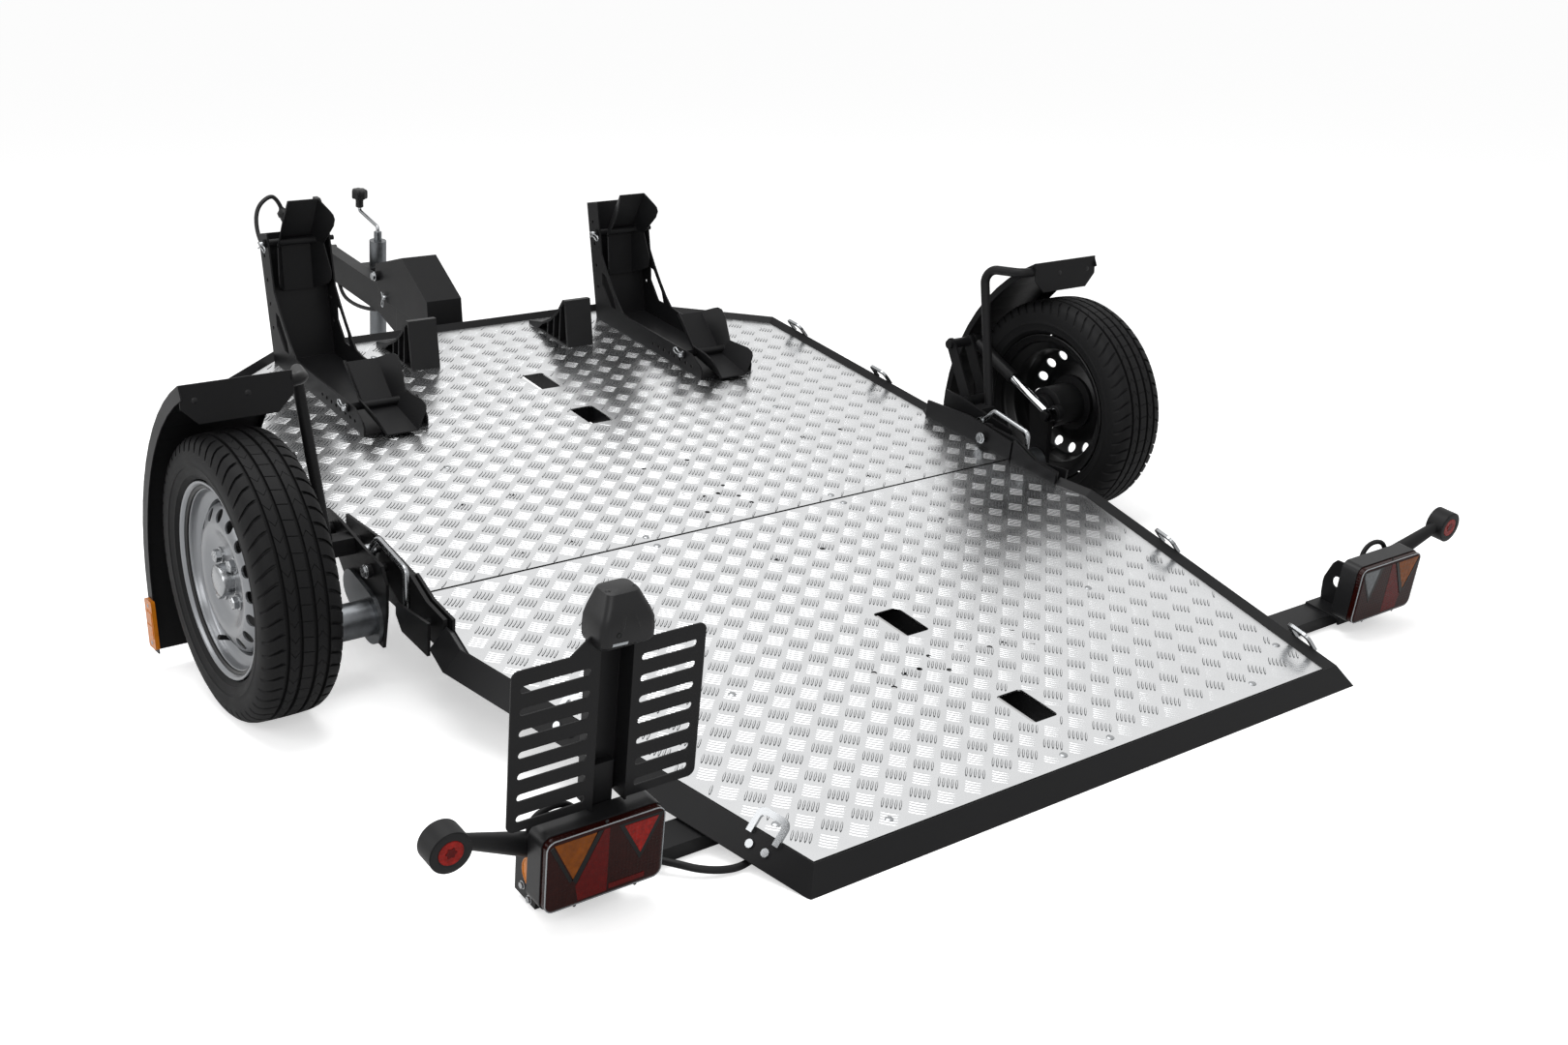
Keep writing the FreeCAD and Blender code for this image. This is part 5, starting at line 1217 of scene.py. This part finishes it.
@dataclass
class ChockPins:
    """Pins and clips that hold one chock's lower and upper cradle."""

    side: Side
    outer: float
    high: Pair
    low: Pair = (1818.0, 38.0)

    def build(self) -> None:
        """Pin both cradles."""
        for tag, (x, h), tip in (("low", self.low, AHEAD * -1.0), ("high", self.high, AHEAD)):
            WireClip(f"chock_clip_{tag}_{self.side.tag}", "front_deck", x, self.outer, h, LEFT, tip).build()


@dataclass
class JackTrim:
    """Lobed knob of the jack's crank."""

    x: float = 3072.0
    y: float = -72.0
    foot: float = 105.6
    neck_radius: float = 11.2
    head_radius: float = 23.0
    head_start: float = 131.0
    head_height: float = 27.5

    def build(self) -> None:
        """Make the knob in place of the plain one."""
        knob = Piece("crank_knob_lobed", "jack_crank", POLYPROPYLENE)
        base = deck(self.x, self.y, self.foot)
        neck = self.neck_radius
        rise = self.head_start - self.foot
        knob.turned(base, UP, [(neck * 0.86, 0.0), (neck, 1.6), (neck * 0.97, rise * 0.7), (neck * 1.12, rise)], 28)
        head, high = self.head_radius, self.head_height
        knob.turned(base + UP * rise, UP,
                    [(head * 0.8, 0.0), (head * 0.95, 1.4), (head, 4.5), (head, high - 6.0),
                     (head * 0.94, high - 2.4), (head * 0.8, high - 0.4), (2.0, high)],
                    42, lobes=7, lobe_depth=0.16)
        knob.make("crank_knob", sharp_deg=40.0)


@dataclass
class DrawbarHardware:
    """Bolts of the drawbar's hinge and the pin of its lock."""

    hinge: Pair = (2690.0, 26.0)
    hinge_face: float = 60.2
    lock: Point = (2640.0, 50.2, -20.0)
    lock_pin_radius: float = 6.0
    lock_pin_reach: float = 10.0

    def build(self) -> None:
        """Make the bolts and the lock's clip."""
        piece = Piece("drawbar_hinge_bolts", "front_deck", ZINC_PLATE)
        for side in Side:
            piece.bolt(deck(self.hinge[0], side.value * self.hinge_face, self.hinge[1]), LEFT * side.value, 10.5, 6.5,
                       15.0)
        piece.make()
        WireClip("drawbar_lock_clip", "front_deck", *self.lock, LEFT, UP, pin_radius=self.lock_pin_radius,
                 reach=self.lock_pin_reach).build()


@dataclass
class PlateLamp:
    """Number plate lamp: a moulded hood with drawn-in shoulders, ears, window and screw."""

    middle: float = 899.5
    corner: float = 11.0
    per_corner: int = 5
    studs: Pair = (880.0, 919.0)
    stud_top: Pair = (128.0, 464.0)
    ribs: tuple[Pair, ...] = ((886.0, 0.35), (913.0, -0.35))
    rib_foot: Pair = (99.4, 420.0)
    window: Point = (97.6, 914.0, 401.0)
    screw: Point = (97.6, 917.0, 414.0)
    levels: tuple[tuple[float, float, float, float], ...] = (
        (389.4, 38.0, 108.0, 156.0), (392.0, 41.0, 102.0, 158.0), (398.0, 43.4, 97.6, 158.6),
        (412.0, 43.8, 97.2, 158.8), (428.0, 42.6, 98.0, 158.8), (440.0, 38.0, 101.5, 158.4),
        (452.0, 32.0, 107.0, 157.6), (461.0, 28.0, 112.0, 156.6), (465.6, 25.6, 115.0, 155.0),
        (467.0, 22.6, 118.5, 152.0))

    def ring(self, h: float, half: float, rear: float, front: float) -> list[Vector]:
        """One level of the hood, with round corners.

        Args:
            h: Its height over the deck.
            half: Half its width.
            rear: Its rear face.
            front: Its front face.

        Returns:
            The level's points in order.
        """
        r = min(self.corner, half * 0.6, (front - rear) * 0.4)
        points = []
        for cx, cy, start in ((front - r, half - r, 0.0), (rear + r, half - r, 90.0), (rear + r, r - half, 180.0),
                              (front - r, r - half, 270.0)):
            for k in range(self.per_corner + 1):
                turn = math.radians(start + 90.0 * k / self.per_corner)
                points.append(deck(cx + r * math.cos(turn), self.middle + cy + r * math.sin(turn), h))
        return points

    def build(self) -> None:
        """Make the hood in place of the plain one, with its small parts."""
        hood = Piece("plate_lamp_hood", "rear_deck", POLYPROPYLENE)
        hood.loft([self.ring(*level) for level in self.levels])
        for y in self.studs:
            hood.dome(deck(self.stud_top[0], y, self.stud_top[1]), UP, 5.0, 4.6)
        for y, lean in self.ribs:
            way = (UP + LEFT * lean).normalized()
            base = deck(self.rib_foot[0], y, self.rib_foot[1])
            hood.tube([base, base + way * 9.0 + AHEAD * 0.6, base + way * 20.0 + AHEAD * 4.6], 3.0, 10)
        hood.make("plate_lamp", sharp_deg=28.0)
        parts = Piece("plate_lamp_window", "rear_deck", CLEAR_EDGE)
        parts.prism([(-13.0, -1.8), (11.0, -2.6), (12.0, 1.4), (-12.0, 2.4)], deck(*self.window),
                    LEFT * -1.0, UP, 1.0, 0.4)
        parts.finish = LENS_DIVIDER
        parts.turned(deck(*self.screw), AHEAD * -1.0,
                     [(4.4, -0.6), (4.2, 0.7), (3.0, 0.9), (2.6, -0.4), (0.4, -0.4)], 16)
        parts.make()


@dataclass
class Cord:
    """Cable or hose fixed at both ends, as one smooth spline."""

    name: str
    body: str
    finish: Finish
    route: Route
    diameter: float
    stiffness: str = "medium"

    def build(self, pieces: Sequence[bpy.types.Object] = (), far_end: str = "object") -> bpy.types.Object:
        """Args:
            pieces: Separate pieces on it; not used.
            far_end: What its far end is; not used.

        Returns:
            The curve object.
        """
        data = bpy.data.curves.new(self.name, "CURVE")
        data.dimensions = "3D"
        data.bevel_depth = self.diameter * MM / 2.0
        data.bevel_resolution = 4
        data.resolution_u = 16
        data.use_fill_caps = True
        spline = data.splines.new("NURBS")
        spline.points.add(len(self.route) - 1)
        for target, place in zip(spline.points, self.route):
            target.co = (place[0] * MM, place[1] * MM, place[2] * MM, 1.0)
        spline.order_u = 3
        spline.use_endpoint_u = True
        data.materials.append(self.finish.material())
        cord = bpy.data.objects.new(self.name, data)
        bpy.context.scene.collection.objects.link(cord)
        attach(cord, self.body)
        LOG.info("%s: %.0f mm", self.name, self.length())
        return cord

    def length(self) -> float:
        """Measure the quadratic spline that the route controls.

        Returns:
            Its length in millimetres.
        """
        points = [Vector(p) for p in self.route]
        joints = [points[0]] + [(a + b) / 2.0 for a, b in zip(points[1:-2], points[2:-1])] + [points[-1]]
        total = 0.0
        for a, corner, b in zip(joints, points[1:-1], joints[1:]):
            last = a
            for k in range(1, 25):
                t = k / 24.0
                here = a * (1 - t) ** 2 + corner * 2 * t * (1 - t) + b * t * t
                total += (here - last).length
                last = here
        return total


@dataclass
class Wiring:
    """The trailer's visible cables and hoses, with the lead's plug."""

    lead_diameter: float = 12.5
    hose_diameter: float = 11.0
    conduit_diameter: float = 12.0
    tail_diameter: float = 10.0
    plug_tail: Point = (3292.0, 74.0, 600.0)
    plug_tip: Point = (3292.0, 45.0, 524.0)
    lead: Route = ((3200.0, 42.0, 452.0), (3212.0, 92.0, 452.0), (3245.0, 150.0, 478.0), (3280.0, 160.0, 540.0),
                   (3290.0, 150.0, 606.0), (3292.0, 104.0, 640.0), (3292.0, 82.0, 622.0), (3292.0, 74.0, 600.0))
    hose: Route = ((3060.0, 10.0, 410.0), (3030.0, 18.0, 388.0), (2985.0, 24.0, 368.0), (2910.0, 26.0, 360.0),
                   (2850.0, 24.0, 360.0), (2800.0, 16.0, 362.0), (2780.0, 8.0, 368.0))
    conduit: Route = ((210.0, 790.0, 21.0), (180.0, 770.0, 20.0), (150.0, 745.0, 14.0), (132.0, 712.0, 9.0),
                      (126.0, 680.0, 8.0), (140.0, 640.0, 10.0), (170.0, 600.0, 18.0), (210.0, 580.0, 21.0))
    tail: Route = ((152.0, 924.0, 62.0), (166.0, 922.0, 84.0), (168.0, 936.0, 112.0), (168.0, 968.0, 118.0),
                   (168.0, 1002.0, 104.0), (163.0, 1004.0, 84.0))

    def plug(self) -> bpy.types.Object:
        """Make the lead's plug.

        Returns:
            The plug's object.
        """
        piece = Piece("lead_plug", "drawbar", POLYPROPYLENE)
        tip, tail = Vector(self.plug_tip), Vector(self.plug_tail)
        long = (tip - tail).length
        piece.turned(tail, (tip - tail).normalized(),
                     [(7.0, 0.0), (9.0, 5.0), (12.0, 8.0), (18.0, 12.0), (18.5, 24.0), (16.0, 27.0),
                      (15.0, long * 0.7), (16.5, long)], 24)
        return piece.make()

    def build(self) -> None:
        """Lay every cord."""
        plug = self.plug()
        Cord("coupling_lead", "drawbar", PVC_SHEATH, self.lead, self.lead_diameter).build((plug,), "plug")
        Cord("jack_hose", "drawbar", EPDM, self.hose, self.hose_diameter).build()
        Cord("lamp_conduit_left", "rear_deck", EPDM, self.conduit, self.conduit_diameter).build()
        for side in Side:
            route = tuple(tuple(deck(x, side.value * y, h)) for x, y, h in self.tail)
            Cord(f"lamp_tail_{side.tag}", "rear_deck", EPDM, route, self.tail_diameter).build()


@dataclass(frozen=True)
class SoftLamp:
    """Square soft lamp: its name, place and side in metres, and power in watts."""

    name: str
    place: Point
    size: float
    power: float


@dataclass
class Studio:
    """Pale floor, white surroundings, soft lamps and the camera."""

    floor_size: float = 120.0
    camera_place: Point = (-1.7785, 2.050, 1.313)
    heading: Pair = (0.796, -0.605)
    pitch_deg: float = 17.97
    focal_px: float = 1806.8
    frame_px: float = 1620.0
    aim: Point = (1.4, 0.0, 0.2)
    lamps: tuple[SoftLamp, ...] = (SoftLamp("lamp_over", (1.4, 0.6, 4.6), 3.5, 130.0),
                                   SoftLamp("lamp_front", (-3.2, 2.8, 2.8), 2.2, 60.0),
                                   SoftLamp("lamp_side", (2.2, 4.6, 2.4), 2.2, 45.0))

    def add_floor(self) -> None:
        """Lay the floor, which keeps the shadow and shows white."""
        mesh = bpy.data.meshes.new("studio_floor")
        half = self.floor_size / 2.0
        mesh.from_pydata([(-half, -half, 0), (half, -half, 0), (half, half, 0), (-half, half, 0)], [], [(0, 1, 2, 3)])
        floor = bpy.data.objects.new("studio_floor", mesh)
        bpy.context.scene.collection.objects.link(floor)
        made = bpy.data.materials.new("Studio_paper_white")
        made.use_nodes = True
        tree = made.node_tree
        tree.nodes.clear()
        path = add_node(tree, "ShaderNodeLightPath")
        seen = add_node(tree, "ShaderNodeMath", {"operation": "MULTIPLY", 1: 0.5},
                        {0: path.outputs["Is Camera Ray"]})
        paper = add_node(tree, "ShaderNodeBsdfDiffuse", {"Color": (0.86, 0.86, 0.86, 1.0)})
        glow = add_node(tree, "ShaderNodeEmission", {"Color": (1.0, 1.0, 1.0, 1.0)},
                        {"Strength": seen.outputs[0]})
        both = add_node(tree, "ShaderNodeAddShader", None, {0: paper.outputs[0], 1: glow.outputs[0]})
        add_node(tree, "ShaderNodeOutputMaterial", None, {"Surface": both.outputs[0]})
        mesh.materials.append(made)

    def add_world(self) -> None:
        """Surround the scene with white that lights it softly."""
        world = bpy.data.worlds.new("studio_white")
        bpy.context.scene.world = world
        world.use_nodes = True
        tree = world.node_tree
        tree.nodes.clear()
        path = add_node(tree, "ShaderNodeLightPath")
        seen = add_node(tree, "ShaderNodeMath", {"operation": "MAXIMUM"},
                        {0: path.outputs["Is Camera Ray"], 1: path.outputs["Is Glossy Ray"]})
        seen = add_node(tree, "ShaderNodeMath", {"operation": "MAXIMUM"},
                        {0: seen.outputs[0], 1: path.outputs["Is Transmission Ray"]})
        level = add_node(tree, "ShaderNodeMapRange", {"To Min": 0.55, "To Max": 1.0}, {"Value": seen.outputs[0]})
        back = add_node(tree, "ShaderNodeBackground", {"Color": (1.0, 1.0, 1.0, 1.0)},
                        {"Strength": level.outputs["Result"]})
        add_node(tree, "ShaderNodeOutputWorld", None, {"Surface": back.outputs[0]})

    def add_lamp(self, soft: SoftLamp) -> None:
        """Hang one soft lamp that points at the trailer.

        Args:
            soft: The lamp.
        """
        data = bpy.data.lights.new(soft.name, "AREA")
        data.size = soft.size
        data.energy = soft.power
        lamp = bpy.data.objects.new(soft.name, data)
        bpy.context.scene.collection.objects.link(lamp)
        lamp.location = soft.place
        lamp.rotation_euler = (Vector(self.aim) - Vector(soft.place)).to_track_quat("-Z", "Y").to_euler()

    def add_camera(self) -> None:
        """Set up the camera at the photograph's viewing angle."""
        data = bpy.data.cameras.new("photo_camera")
        data.sensor_width = 36.0
        data.lens = self.focal_px * 36.0 / self.frame_px
        data.clip_end = 500.0
        camera = bpy.data.objects.new("photo_camera", data)
        bpy.context.scene.collection.objects.link(camera)
        camera.location = self.camera_place
        pitch = math.radians(self.pitch_deg)
        ahead = Vector((self.heading[0], self.heading[1], 0.0)).normalized() * math.cos(pitch)
        ahead.z = -math.sin(pitch)
        camera.rotation_euler = ahead.to_track_quat("-Z", "Y").to_euler()
        bpy.context.scene.camera = camera

    def build(self) -> None:
        """Set the whole studio up."""
        self.add_camera()
        self.add_floor()
        self.add_world()
        for soft in self.lamps:
            self.add_lamp(soft)
        bpy.context.scene.view_settings.view_transform = "Standard"


def main() -> None:
    """Build the sub-assemblies in order."""
    logging.basicConfig(level=logging.INFO, format="%(message)s")
    Studio().build()
    Wiring().build()
    dress_nodes()
    build_tread()
    for side in Side:
        for kind in (Tyre, Rim, WheelTrim, RearLamp, MarkerEyes, FoldHardware):
            kind(side).build()
    for part in (LampCheeks(), Fixings(), ReflectorFields(), ChockPins(Side.LEFT, 535.6, (2273.4, 284.4)),
                 ChockPins(Side.RIGHT, -368.4, (2259.2, 229.2)), JackTrim(), DrawbarHardware(), PlateLamp()):
        part.build()


if __name__ == "__main__":
    main()
